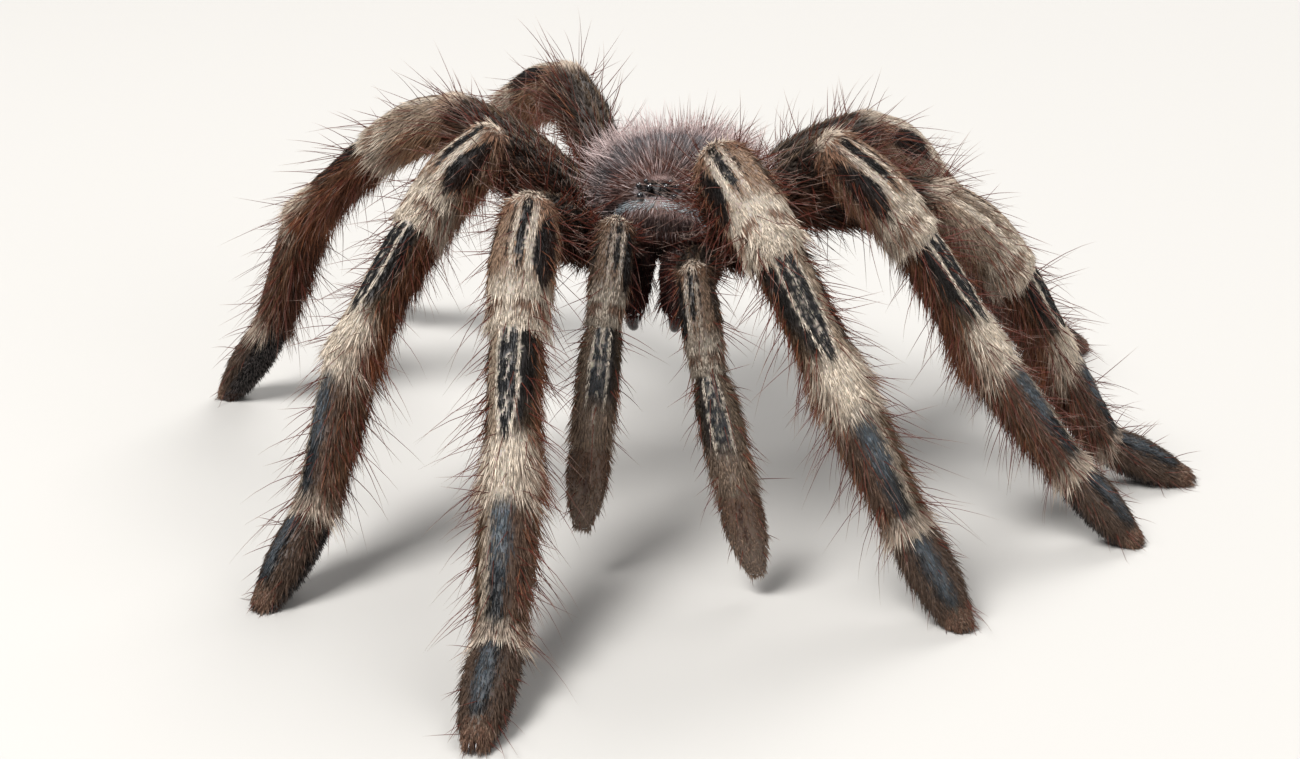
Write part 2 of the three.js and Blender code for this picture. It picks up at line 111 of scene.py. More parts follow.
ANKLE_RADIUS = 4.1
FOOT_RADIUS = 3.2
TIP_RADIUS = 2.5

# How much deeper the skin lies just past a joint, how far along that waist reaches as a share of the
# length, and how deep it lies at the sole, where the coat is a thin pad.
WAIST = {"tibia": 0.6, "palp_tibia": 0.45, "metatarsus": 0.35, "tarsus": 0.3}
WAIST_REACH = 0.13
SOLE_DEPTH = 0.1

# How each length swells at its middle, arches upward, and how broad and deep it is.
LENGTH_FORM = {
    "coxa": (0.0, 0.0, 1.0, 1.0),
    "femur": (0.7, 0.8, 1.0, 1.06),
    "patella": (0.55, 0.7, 1.06, 1.04),
    "tibia": (-0.25, 0.2, 1.0, 1.0),
    "metatarsus": (0.25, -0.3, 1.0, 1.0),
    "tarsus": (0.75, 0.0, 1.12, 0.9),
    "palp_tibia": (0.5, 0.3, 1.08, 1.0),
}

# Bearing from straight ahead, rise of the femur, its turn about itself, sideways bend at the knee,
# and how far each next joint bends down.
POSE = {
    "leg1_right": (9.0, 25.5, -9.5, 3.5, (73.0, 3.5, -6.5, -19.5)),
    "leg2_right": (49.5, 40.0, -14.5, 3.5, (75.5, 12.0, 17.5, -18.5)),
    "leg3_right": (113.0, 18.5, -15.0, 2.5, (47.5, 19.0, 31.0, -16.0)),
    "leg4_right": (147.0, 26.5, -17.5, -2.5, (56.5, 19.5, 9.0, -20.0)),
    "palp_right": (-11.0, 34.0, 6.0, 1.0, (86.5, 25.0, 10.0)),
    "leg1_left": (-0.5, 44.0, 33.5, -4.5, (75.5, 51.5, 3.0, -16.0)),
    "leg2_left": (52.5, 45.0, 23.5, -2.0, (91.5, 17.0, -6.0, -5.5)),
    "leg3_left": (80.5, 9.5, 16.0, -8.0, (52.5, 23.5, -2.5, -36.5)),
    "leg4_left": (134.5, 13.5, 3.0, -1.5, (45.5, 13.0, 4.5, -24.5)),
    "palp_left": (3.5, 15.5, 13.0, -3.5, (77.5, 15.0, 9.5)),
}

CARAPACE_HALF = (
    (0, 13.4), (5.6, 12.6), (8.4, 9.0), (11.4, 3.6), (12.5, -2.0), (10.6, -8.4), (5.2, -12.4), (0, -12.6),
)
CARAPACE_EDGE = 1.1
CARAPACE_BOTTOM = -0.9
RIDGE = ((-12.6, 4.2), (-8.0, 7.0), (-2.5, 7.9), (3.0, 8.4), (8.0, 8.2), (10.6, 7.4), (13.4, 5.6))
EYE_MOUND = (10.0, 3.4, 1.7, 1.35)
STERNUM = (4.7, 7.2, 0.6, -3.4, -7.6)
ABDOMEN_FRONT = 13.4
ABDOMEN_LENGTH = 27.0
ABDOMEN_HALF_WIDTH = 9.6
ABDOMEN_HALF_HEIGHT = 8.6
ABDOMEN_UP = -4.0
ABDOMEN_DROOP = 35.0
PEDICEL = (9.0, 16.5, -4.6, 1.9)
SPINNERET = (0.92, 6.0, 1.2, 0.7, 2.0, 1.2, 16.0)
CHELICERA_ROOT = (3.15, 10.6, -1.5)
CHELICERA_END = (3.15, 18.2, -6.6)
CHELICERA_RADII = (2.8, 2.35, 0.35)
FANG = (1.0, 0.3, 7.2, 3.4)
GAP = 0.3

# The camera: where it looks from, how it is turned, and how long its lens is.
CAMERA_AZIMUTH = 9.18
CAMERA_ELEVATION = 22.26
CAMERA_ROLL = 1.99
CAMERA_DISTANCE = 340.0
CAMERA_TARGET = (-4.98, 8.388, 14.79)
CAMERA_LENS = 62.14
CAMERA_SENSOR = 36.0

SIDES = {"right": -1, "left": 1}

# The pieces of the skin, as numbers of its materials.
LEG, CARAPACE, ABDOMEN, FACE = range(4)


# Small sums --------------------------------------------------------------------------------

def linear(colour):
    """A hex sRGB colour as linear red, green and blue."""
    parts = [int(colour[i : i + 2], 16) / 255 for i in (1, 3, 5)]
    return tuple(c / 12.92 if c <= 0.04045 else ((c + 0.055) / 1.055) ** 2.4 for c in parts)


def unit(v):
    """The vectors at length one."""
    v = np.asarray(v, float)
    return v / np.maximum(np.linalg.norm(v, axis=-1, keepdims=True), 1e-9)


def turned(v, axis, degrees):
    """One vector turned about an axis."""
    c, s = math.cos(math.radians(degrees)), math.sin(math.radians(degrees))
    return v * c + np.cross(axis, v) * s + axis * (axis @ v) * (1 - c)


def ease(low, high, x):
    """Nought below low, one above high, smooth between."""
    t = np.clip((x - low) / (high - low), 0, 1)
    return t * t * (3 - 2 * t)


def within(x, low, high, soft):
    """One between low and high, fading over soft at both ends."""
    return ease(low - soft, low + soft, x) * (1 - ease(high - soft, high + soft, x))


def axis_turn(degrees, axis):
    """The matrix that turns about X or Y."""
    c, s = math.cos(math.radians(degrees)), math.sin(math.radians(degrees))
    if axis == "X":
        return np.array([[1, 0, 0], [0, c, -s], [0, s, c]])
    return np.array([[c, 0, s], [0, 1, 0], [-s, 0, c]])


def picked(keep, *arrays):
    """The kept rows of each array."""
    return [each[keep] for each in arrays]


BODY_TURN = axis_turn(BODY_LEAN, "Y") @ axis_turn(NOSE_DOWN, "X")
BODY_PLACE = np.array([-CENTRE[0], -CENTRE[1], BODY_HEIGHT])


def on_body(sideways, forward, up):
    """Places measured on the body, in the part's frame."""
    parts = np.broadcast_arrays(sideways, -np.asarray(forward, float), up)
    return np.stack(parts, -1) @ BODY_TURN.T + BODY_PLACE


def surface(shape, u, v, away_from):
    """Points of a surface with its outward normals, worked out from small steps along it."""
    step = 1e-3
    point = shape(u, v)
    across = shape(u + step, v) - shape(u - step, v)
    along = shape(u, v + step) - shape(u, v - step)
    normal = unit(np.cross(across, along))
    outward = np.sum(normal * (point - away_from), -1, keepdims=True)
    return point, np.where(outward < 0, -normal, normal)


# Limbs -------------------------------------------------------------------------------------

class Limb:
    """A leg or palp: its joints, the frame of each length, and its radii."""

    def __init__(self, name):
        self.name = name
        self.kind, side = name.split("_")
        self.side = SIDES[side]
        self.is_palp = self.kind == "palp"
        bearing, rise, turn, bend, bends = POSE[name]
        start = on_body(self.side * COXA_START[self.kind][0], *COXA_START[self.kind][1:])
        hip = on_body(self.side * TROCHANTER[self.kind][0], *TROCHANTER[self.kind][1:])
        if not self.is_palp:
            rise = self.standing_rise(hip, rise, bearing, turn, bend, bends)
        places, frames = self.chain(hip, rise, bearing, turn, bend, bends)
        coxa_ahead = unit(hip - start)
        coxa_hinge = unit(np.cross(UP, coxa_ahead))
        coxa = (coxa_hinge, np.cross(coxa_ahead, coxa_hinge), coxa_ahead)
        self.joints = np.array([start, *places])
        self.frames = np.array([coxa, *frames])
        self.spans = np.linalg.norm(np.diff(self.joints, axis=0), axis=1)
        self.starts = np.concatenate([[0], np.cumsum(self.spans)])
        stout = STOUTNESS[self.kind]
        if self.is_palp:
            self.parts = ("coxa", "femur", "patella", "palp_tibia", "tarsus")
            wide = (
                TROCHANTER_RADIUS * 0.9, KNEE_RADIUS * stout, SHIN_RADIUS * stout,
                ANKLE_RADIUS * 1.1 * stout, FOOT_RADIUS * stout,
            )
            self.radii = (PALP_COXA_RADIUS, *wide)
        else:
            self.parts = ("coxa", "femur", "patella", "tibia", "metatarsus", "tarsus")
            wide = [r * stout for r in (KNEE_RADIUS, SHIN_RADIUS, ANKLE_RADIUS, FOOT_RADIUS, TIP_RADIUS)]
            self.radii = (COXA_RADIUS, TROCHANTER_RADIUS, *wide)

    def chain(self, hip, rise, bearing, turn, bend, bends):
        """Joint places after the hip, and the hinge, back and direction of each length."""
        b, r = math.radians(bearing), math.radians(rise)
        ahead = np.array([self.side * math.sin(b), -math.cos(b), 0.0])
        direction = ahead * math.cos(r) + UP * math.sin(r)
        hinge = turned(unit(np.cross(UP, ahead)), direction, turn * self.side)
        places, frames = [hip], []
        for i, length in enumerate(LENGTHS[self.kind]):
            if i == 2:
                direction = turned(direction, unit(np.cross(hinge, direction)), bend * self.side)
                hinge = unit(hinge - direction * (hinge @ direction))
            if i > 0:
                direction = turned(direction, hinge, bends[i - 1])
            frames.append((hinge, np.cross(direction, hinge), direction))
            places.append(places[-1] + direction * length)
        return places, frames

    def standing_rise(self, hip, rise, *rest):
        """The rise near the given one that puts the foot at its height over the floor."""
        low, high = rise - 8, rise + 8
        for _ in range(40):
            middle = (low + high) / 2
            if self.chain(hip, middle, *rest)[0][-1][2] > FOOT_HEIGHT:
                high = middle
            else:
                low = middle
        return (low + high) / 2

    def inset(self, i, depth, t, angle):
        """How far the skin of length i lies inside the solid: most past a joint, least at the sole."""
        narrow = WAIST.get(self.parts[i], 0.0) * np.exp(-((np.maximum(t, 0) / WAIST_REACH) ** 2))
        if self.parts[i] != "tarsus" or self.is_palp:
            return depth + narrow
        sole = ease(110, 160, np.abs(np.degrees(angle)))
        return depth + narrow * (1 - sole) - (depth - SOLE_DEPTH) * sole

    def skin(self, i, depth):
        """The skin of length i as a function of mm along it and the angle from its top."""
        swell, arch, broad, deep = LENGTH_FORM[self.parts[i]]
        start, span = self.joints[i], self.spans[i]
        hinge, back, ahead = self.frames[i]
        first, last = self.radii[i], self.radii[i + 1]

        def shape(along, angle):
            t = np.clip(along / span, 0, 1)
            bulge = np.sin(np.pi * t)
            radius = first + (last - first) * t + swell * bulge - self.inset(i, depth, t, angle)
            beyond = np.where(along < 0, along, np.maximum(along - span, 0)) / np.maximum(radius, 0.05)
            radius = radius * np.sqrt(np.clip(1 - beyond**2, 0, 1))
            across = radius * np.sin(angle) * broad
            lift = radius * np.cos(angle) * deep + arch * bulge
            return start + across[..., None] * hinge + lift[..., None] * back + along[..., None] * ahead

        return shape

    def off_middle(self, i, points):
        """How far points lie sideways and up from the middle line of length i, made round."""
        _, arch, broad, deep = LENGTH_FORM[self.parts[i]]
        hinge, back, ahead = self.frames[i]
        offset = points - self.joints[i]
        bulge = np.sin(np.pi * np.clip(offset @ ahead / self.spans[i], 0, 1))
        return offset @ hinge / broad, (offset @ back - arch * bulge) / deep

    def kept(self, i, points, depth):
        """Which points of length i lie outside the skin of the lengths on both sides of it."""
        buried = 0.05
        keep = np.ones(len(points), bool)
        for other in (i - 1, i + 1):
            if 0 <= other < len(self.parts):
                across, up = self.off_middle(other, points)
                along = (points - self.joints[other]) @ self.frames[other][2]
                skin = self.skin(other, depth)(along, np.arctan2(across, up))
                keep &= np.hypot(across, up) > np.hypot(*self.off_middle(other, skin)) - buried
        return keep


LIMBS = {name: Limb(name) for name in POSE}


# The body's shapes -------------------------------------------------------------------------

def closed_curve(points, steps=16):
    """A smooth closed line through the points."""
    p = np.array(points, float)
    before, after, next_after = np.roll(p, 1, 0), np.roll(p, -1, 0), np.roll(p, -2, 0)
    t = (np.arange(steps) / steps)[None, :, None]
    a, b, c, d = (q[:, None, :] for q in (before, p, after, next_after))
    line = b + 0.5 * t * (c - a + t * (2 * a - 5 * b + 4 * c - d + t * (3 * (b - c) + d - a)))
    return line.reshape(-1, 2)


CARAPACE_LINE = closed_curve(CARAPACE_HALF + tuple((-x, y) for x, y in CARAPACE_HALF[-2:0:-1]))


def carapace_rim(turn):
    """How far the carapace reaches at an angle from straight ahead, toward the spider's left."""
    angles = np.arctan2(CARAPACE_LINE[:, 0], CARAPACE_LINE[:, 1])
    reach = np.hypot(CARAPACE_LINE[:, 0], CARAPACE_LINE[:, 1])
    order = np.argsort(angles)
    return np.interp((turn + np.pi) % TAU - np.pi, angles[order], reach[order], period=TAU)


def ridge_height(forward):
    """The height of the carapace's middle line."""
    at, up = np.array(RIDGE, float).T
    i = np.clip(np.searchsorted(at, forward) - 1, 0, len(at) - 2)
    t = np.clip((forward - at[i]) / (at[i + 1] - at[i]), 0, 1)
    weight = (t + t * t * (3 - 2 * t)) / 2
    return up[i] + (up[i + 1] - up[i]) * weight


def carapace_height(sideways, forward, out):
    """The height of the carapace's top."""
    steep = 2.3 + 4.7 * ease(4, 11, forward)
    dome = np.maximum(0, 1 - np.clip(out, 0, 1) ** steep) ** 0.75
    at, half_width, half_length, rise = EYE_MOUND
    mound = rise * np.exp(-1.2 * ((sideways / half_width) ** 2 + ((forward - at) / half_length) ** 2))
    return CARAPACE_EDGE + (ridge_height(forward) - CARAPACE_EDGE) * dome + mound * dome


def carapace_shape(depth):
    """The carapace's top as a function of the angle round it and how far out."""

    def shape(turn, out):
        reach = np.maximum(carapace_rim(turn) - depth * 0.6, 0) * out
        sideways, forward = np.sin(turn) * reach, np.cos(turn) * reach
        up = carapace_height(sideways, forward, out)
        lowered = depth * ease(0, 1.5, up - CARAPACE_EDGE)
        return on_body(sideways, forward, up - lowered)

    return shape


ABDOMEN_TURN = axis_turn(-ABDOMEN_DROOP, "X")


def on_abdomen(sideways, back, up):
    """Places measured on the abdomen, back from its front end, in the part's frame."""
    local = np.stack([sideways, back, up], -1) @ ABDOMEN_TURN.T
    local = local + np.array([0, ABDOMEN_FRONT, ABDOMEN_UP])
    return on_body(local[..., 0], -local[..., 1], local[..., 2])


def egg_shape(depth):
    """The abdomen as a function of 0 to 1 along it and the angle from its top."""

    def shape(t, angle):
        t = np.clip(t, 0, 1)
        along = (1 - np.cos(np.pi * t)) / 2
        radius = np.clip(np.sin(np.pi * t), 0, 1) ** 0.85 * (0.86 + 0.2 * along)
        across = np.sin(angle) * radius * (ABDOMEN_HALF_WIDTH - depth)
        upward = np.cos(angle) * radius * (ABDOMEN_HALF_HEIGHT - depth)
        return on_abdomen(across, depth + along * (ABDOMEN_LENGTH - 2 * depth), upward)

    return shape


def rod_shape(start, end, first, last, swell=0.0):
    """A round rod with round ends, as a function of mm along it and the angle round it."""
    start, end = np.asarray(start, float), np.asarray(end, float)
    ahead = unit(end - start)
    span = np.linalg.norm(end - start)
    hinge = unit(np.cross(UP, ahead))
    back = np.cross(ahead, hinge)

    def shape(along, angle):
        t = np.clip(along / span, 0, 1)
        radius = first + (last - first) * t + swell * np.sin(np.pi * t)
        beyond = np.where(along < 0, along, np.maximum(along - span, 0)) / radius
        radius = radius * np.sqrt(np.clip(1 - beyond**2, 0, 1))
        across, lift = radius * np.sin(angle), radius * np.cos(angle)
        return start + across[..., None] * hinge + lift[..., None] * back + along[..., None] * ahead

    return shape


def chelicera_ends(side):
    """Where a chelicera starts and ends."""
    return (
        on_body(side * CHELICERA_ROOT[0], *CHELICERA_ROOT[1:]),
        on_body(side * CHELICERA_END[0], *CHELICERA_END[1:]),
    )


# Markings ----------------------------------------------------------------------------------

# Each place has shares of pale, tan, rust and slate hair. What is left over is black-brown.
# Angles are degrees off a limb's top; "lean" is positive on its front flank, negative on its rear one.

PALE, TAN, RUST, SLATE = range(4)


def marks(count, pale=0.0, tan=0.0, rust=0.0, slate=0.0):
    """The four shares side by side."""
    return np.stack([np.broadcast_to(m, (count,)) for m in (pale, tan, rust, slate)], -1).clip(0, 1)


def limb_marks(limb, i, along, angle):
    """The stripes and bands of a leg or palp."""
    part = limb.parts[i]
    t = along / limb.spans[i]
    lean = np.degrees((angle + np.pi) % TAU - np.pi) * -limb.side
    off_top = np.abs(lean)
    if part in ("coxa", "femur"):
        knee = ease(0.9, 1.0, t) * (1 - ease(30, 75, off_top)) if part == "femur" else 0 * t
        streak = 0.35 * within(off_top, 12, 22, 4) * (part == "femur")
        tan = 0.1 + streak + 0.6 * knee
        return marks(len(t), pale=0.7 * knee, tan=tan, rust=0.3 * ease(60, 130, off_top) + 0.35 * knee)
    if part == "patella":
        return patella_marks(limb, t, lean)
    if part == "tibia":
        return tibia_marks(t, lean)
    if part == "palp_tibia":
        return palp_tibia_marks(t, lean)
    if part == "metatarsus":
        return metatarsus_marks(t, lean)
    return tarsus_marks(limb, t, lean)


def patella_marks(limb, t, lean):
    """White and dark stripes on top, a black panel in front, tan fur behind, and cream at the end."""
    off_top = np.abs(lean)
    taper = 1 - ease(0.25, 0.72, t)
    dark = within(lean, 15 - 12 * taper, 15 + 10 * taper, 1.2) * within(t, -0.14, 0.66, 0.04)
    slit = within(lean, -13 - 4 * taper, -13 + 4 * taper, 0.8) * within(t, -0.08, 0.48, 0.06)
    stripe = within(lean, 25, 41, 1.5) * within(t, -0.1, 0.7, 0.06)
    core = within(lean, 30, 37, 1.5) * within(t, 0.0, 0.62, 0.1)
    ridge = within(lean, -8, 1, 1.5) * within(t, -0.1, 0.7, 0.08)
    bulge = 22 + 9 * ease(0.1, 0.5, t) * (1 - ease(0.5, 0.7, t))
    panel = 1 - ease(0.85, 1.1, ((t - 0.34) / 0.37) ** 2 + ((lean - 67) / bulge) ** 2)
    rear = 0.8 * (1 - ease(0.8, 1.2, ((t - 0.3) / 0.26) ** 2 + ((lean + 66) / 14) ** 2))
    end = ease(0.52, 0.82, t)
    seam = within(t, 0.86, 0.95, 0.02) * within(off_top, 12, 100, 8)
    below = ease(92, 122, off_top) * (1 - 0.5 * ease(0.62, 0.9, t))
    knee = 1 - ease(-0.02, 0.07, t)
    furry, warmth, crest = 0.15, 0.32, 0 * t
    if limb.kind == "leg3":
        panel, dark, rear, furry, warmth = 0.25 * panel, 0.5 * dark, 0.3 * rear, 0.36, 0.08
    if limb.kind == "leg4":
        dark, crest = 0.35 * dark, 0.85 * within(lean, -38, 34, 6)
    pale = np.maximum.reduce([0.95 * stripe, 0.85 * ridge, 0.9 * end, crest, furry + 0 * t])
    clear = (1 - panel) * (1 - dark) * (1 - rear) * (1 - 0.9 * slit)
    pale = pale * clear * (1 - 0.85 * seam) * (1 - 0.9 * below) * (1 - 0.3 * core) * (1 - 0.35 * knee)
    tan = (1 - 0.45 * end) * clear
    rust = 0.3 * ease(95, 150, off_top) + 0.6 * seam + warmth * (1 - end) + 0.3 * knee
    rust = rust * clear + 0.1 * panel * ease(50, 80, lean)
    shares = marks(len(t), pale=pale, tan=tan, rust=rust, slate=0.6 * core * clear)
    # A palp's patella has its pale, tan and rust cut to about half, darker than a leg's: painted shade on
    # the palps.
    if limb.is_palp:
        shares[:, :3] *= (0.5, 0.45, 0.5)
    return shares


def tibia_marks(t, lean):
    """A speckled black panel framed by two white lines, tan fur behind, then cream to the ankle."""
    off_top = np.abs(lean)
    half = 23 - 14 * ease(0.42, 0.76, t)
    tongue = 1 - ease(0.75, 1.15, off_top / np.maximum(15 * (1 - t / 0.17), 0.01))
    panel = (1 - ease(half - 1, half + 1, off_top)) * within(t, 0.0, 0.73, 0.02) * (1 - tongue)
    line = within(off_top, half + 1.5, half + 10.5, 1.2) * within(t, -0.02, 0.78, 0.03)
    in_front = within(lean, half + 12, half + 48, 3) * (1 - ease(0.4, 0.68, t)) * ease(-0.02, 0.03, t)
    behind = within(lean, -half - 42, -half - 11, 4)
    collar = (1 - ease(-0.02, 0.025, t)) * (1 - ease(75, 110, off_top))
    cream_end = ease(0.64, 0.8, t) * (1 - ease(58, 105, off_top))
    pale = np.maximum.reduce([line, tongue, collar, cream_end, 0.3 * behind])
    tan = 0.85 * behind + 0.35 * within(lean, 50, 118, 14) + 0.5 * ease(0.6, 0.75, t)
    seam = within(t, 0.92, 0.98, 0.02) * ease(15, 45, off_top) * (1 - ease(90, 130, off_top))
    rust = 0.5 * ease(62, 100, off_top) + 0.3 * ease(0.62, 0.9, t) * ease(40, 90, off_top) + 0.5 * seam
    pale = pale * (1 - 0.5 * seam)
    clear = (1 - panel) * (1 - 0.92 * in_front)
    return marks(len(t), pale=pale * (1 - panel), tan=tan * clear, rust=rust * clear, slate=0.07 * panel)


def palp_tibia_marks(t, lean):
    """A dark panel between two pale lines, brown fluff behind, cream at its root."""
    off_top = np.abs(lean)
    root = (1 - ease(0.0, 0.05, t)) * (1 - ease(70, 110, off_top))
    tongue = 1 - ease(0.75, 1.15, off_top / np.maximum(20 * (1 - t / 0.16), 0.01))
    panel = (1 - ease(22, 24, off_top)) * (1 - ease(0.5, 0.75, t)) * (1 - tongue) * ease(0, 0.04, t)
    line = within(off_top, 24, 34, 1.5) * (1 - ease(0.62, 0.8, t))
    behind = within(lean, -110, -36, 8)
    end = ease(0.55, 0.85, t)
    pale = np.maximum.reduce([0.7 * root, 0.7 * line, 0.6 * tongue, 0.08 * behind, 0.14 * end])
    tan = np.maximum.reduce([0.45 * behind, 0.2 * ease(36, 70, lean), 0.4 * end])
    rust = 0.25 * ease(80, 140, off_top) + 0.15 * end
    clear = 1 - panel
    return marks(len(t), pale=pale * clear, tan=tan * clear, rust=rust, slate=0.15 * panel)


def metatarsus_marks(t, lean):
    """Cream at its root, a blue-grey patch beside a pale streak, brown flanks and a cream end ring."""
    off_top = np.abs(lean)
    root = (1 - ease(0.04, 0.24, t)) * (1 - ease(75, 120, off_top))
    patch = within(lean, -20, 21, 12) * within(t, 0.14, 0.52, 0.12)
    dark = within(lean, -12 + 10 * ease(0.4, 0.8, t), 26, 8) * within(t, 0.42, 0.88, 0.06)
    streak = within(lean, -48, -22, 7) * within(t, 0.1, 0.86, 0.12)
    flank = within(lean, 26, 84, 10) * within(t, 0.14, 0.85, 0.08)
    ring = ease(0.85, 0.94, t) * (1 - ease(95, 140, off_top))
    pale = np.maximum.reduce([root, 0.42 * streak, ring, 0.06 * flank]) * (1 - 0.9 * patch) * (1 - dark)
    tan = 0.5 * within(off_top, 34, 118, 12) + 0.4 * root + 0.3 * streak
    tan = tan * (1 - dark) * (1 - 0.6 * flank)
    seam = within(t, 0.9, 0.98, 0.02) * (1 - ease(90, 130, off_top))
    rust = 0.35 * ease(70, 120, off_top) + 0.42 * root * ease(20, 60, off_top)
    rust = rust + 0.55 * seam + 0.25 * flank
    pale = pale * (1 - 0.45 * seam)
    return marks(len(t), pale=pale, tan=tan, rust=rust * (1 - dark), slate=0.86 * patch + 0.2 * dark)


def tarsus_marks(limb, t, lean):
    """A blue-grey stripe above, grey-brown fur on the flanks, a tan brush at the claws."""
    off_top = np.abs(lean)
    collar = (1 - ease(0.0, 0.09, t)) * (1 - ease(80, 120, off_top))
    tip = ease(0.82, 0.98, t) * (1 - ease(100, 140, off_top))
    if limb.is_palp:
        slot = (1 - ease(3, 7, off_top)) * within(t, 0.15, 0.7, 0.08)
        pale = np.maximum(0.5 * collar, 0.04 + 0.12 * ease(0.3, 0.9, t)) * (1 - slot)
        return marks(len(t), pale=pale, tan=0.3 * (1 - slot), rust=0.25)
    stripe = within(lean, -15, 15, 12) * (1 - ease(0.6, 0.92, t))
    edge = within(lean, 14, 34, 6) * (1 - ease(0.7, 0.9, t))
    flank = within(off_top, 24, 112, 12) * (1 - edge)
    pale = np.maximum.reduce([0.85 * collar, 0.05 * flank, 0.12 * tip]) * (1 - stripe)
    tan = np.maximum(0.14 * flank, 0.4 * tip) * (1 - stripe)
    rust = 0.3 * ease(0.86, 1.05, t) + 0.15 * flank
    return marks(len(t), pale=pale, tan=tan, rust=rust, slate=0.72 * stripe)


def carapace_marks(sideways, forward):
    """Brown round the eyes and at the sides, grey with pink in the middle, pale at the rear rim. The rim's
    paleness is painted light from behind, the band under the eyes has a painted highlight, and the foot of
    the front wall has painted shade.
    """
    turn = np.arctan2(sideways, forward)
    out = np.hypot(sideways, forward) / carapace_rim(turn)
    from_eyes = np.hypot(sideways, forward - EYE_MOUND[0])
    from_mound = np.hypot(sideways / 2.3, (forward - EYE_MOUND[0] - 0.45) / 0.95)
    mound = 1 - ease(0.75, 1.0, from_mound)
    ring = within(from_mound, 0.98, 1.45, 0.08) * ease(9.3, 10.3, forward)
    brow = brow_share(sideways, forward)
    apron = apron_share(sideways, forward) * (1 - brow)
    grey = ease(4.5, 11, from_eyes) * (1 - 0.75 * ease(0.6, 0.95, np.abs(sideways) / 12.5)) * (1 - apron)
    # Hair toward the rear rim is made pale: pinkish hair, with painted light from behind in its paleness.
    rear = ease(0.6, 0.95, out) * (1 - ease(-9, -2, forward))
    tuft = 1 - ease(0.5, 1.6, np.hypot(sideways / 1.3, forward - 8.5))
    bare = 1 - mound * (1 - brow)
    # Toward the foot of the front wall, below the band, the hair loses most of its colour: painted shade
    # under the carapace's front edge.
    low = ease(12.2, 12.6, ahead_of_eyes(sideways, forward)) * (1 - brow)
    # The band's pale share is highest in its middle and falls off to the sides: a painted highlight along
    # the front edge.
    pale = 0.6 * rear + (1.5 - 0.22 * np.abs(sideways)).clip(0.3, 1) * brow + 0.35 * tuft + 0.22 * apron
    pale = np.maximum(pale, 0.4 * ring)
    tan = 0.75 * (1 - grey) * (1 - brow) * (1 - 0.3 * apron)
    rust = 0.45 * apron + 0.55 * tuft + 0.22 * (1 - grey) * (1 - brow)
    slate = np.maximum.reduce([0.7 * grey, brow, ring])
    dry = bare * (1 - 0.85 * low)
    rust = rust * bare * (1 - 0.5 * low)
    return marks(len(out), pale=pale * dry, tan=tan * dry, rust=rust, slate=slate * bare)


def ahead_of_eyes(sideways, forward):
    """How far forward a place lies, along the arch of the carapace's front edge."""
    return forward + 0.007 * sideways**2


def brow_share(sideways, forward):
    """The light arched band under the eyes: pale hair with a painted highlight along the carapace's front
    edge.
    """
    band = within(ahead_of_eyes(sideways, forward), 11.28, 11.9, 0.08)
    return band * (1 - ease(7.4, 8.6, np.abs(sideways)))


def apron_share(sideways, forward):
    """The front wall of the carapace, below the band, where hair hangs down."""
    return ease(11.7, 11.9, ahead_of_eyes(sideways, forward)) * (1 - ease(8.2, 9.4, np.abs(sideways)))


# Meshes ------------------------------------------------------------------------------------

def tube_faces(rows, columns):
    """The faces of a tube of rows of points, closed round it and at both ends."""
    here = np.arange(rows * columns).reshape(rows, columns)
    beside = np.roll(here, -1, 1)
    quads = np.stack([here[:-1], beside[:-1], beside[1:], here[1:]], -1).reshape(-1, 4)
    return [*quads.tolist(), here[0, ::-1].tolist(), here[-1].tolist()]


def grid_mesh(shape, us, vs):
    """Points, faces and parameters of a surface sampled on a grid; v runs round it."""
    u, v = (each.ravel() for each in np.meshgrid(us, vs, indexing="ij"))
    return shape(u, v), tube_faces(len(us), len(vs)), u, v


def around(columns):
    """Angles spaced evenly round a form."""
    return np.linspace(-np.pi, np.pi, columns, endpoint=False)


def new_object(name, mesh):
    """An object in the scene that rides on the part's one body."""
    piece = bpy.data.objects.new(name, mesh)
    bpy.context.scene.collection.objects.link(piece)
    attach(piece, "root")
    return piece


def set_marks(mesh, name, values):
    """Four values a vertex, under one name."""
    layer = mesh.attributes.new(name, "FLOAT_COLOR", "POINT")
    layer.data.foreach_set("color", np.asarray(values, np.float32).ravel())


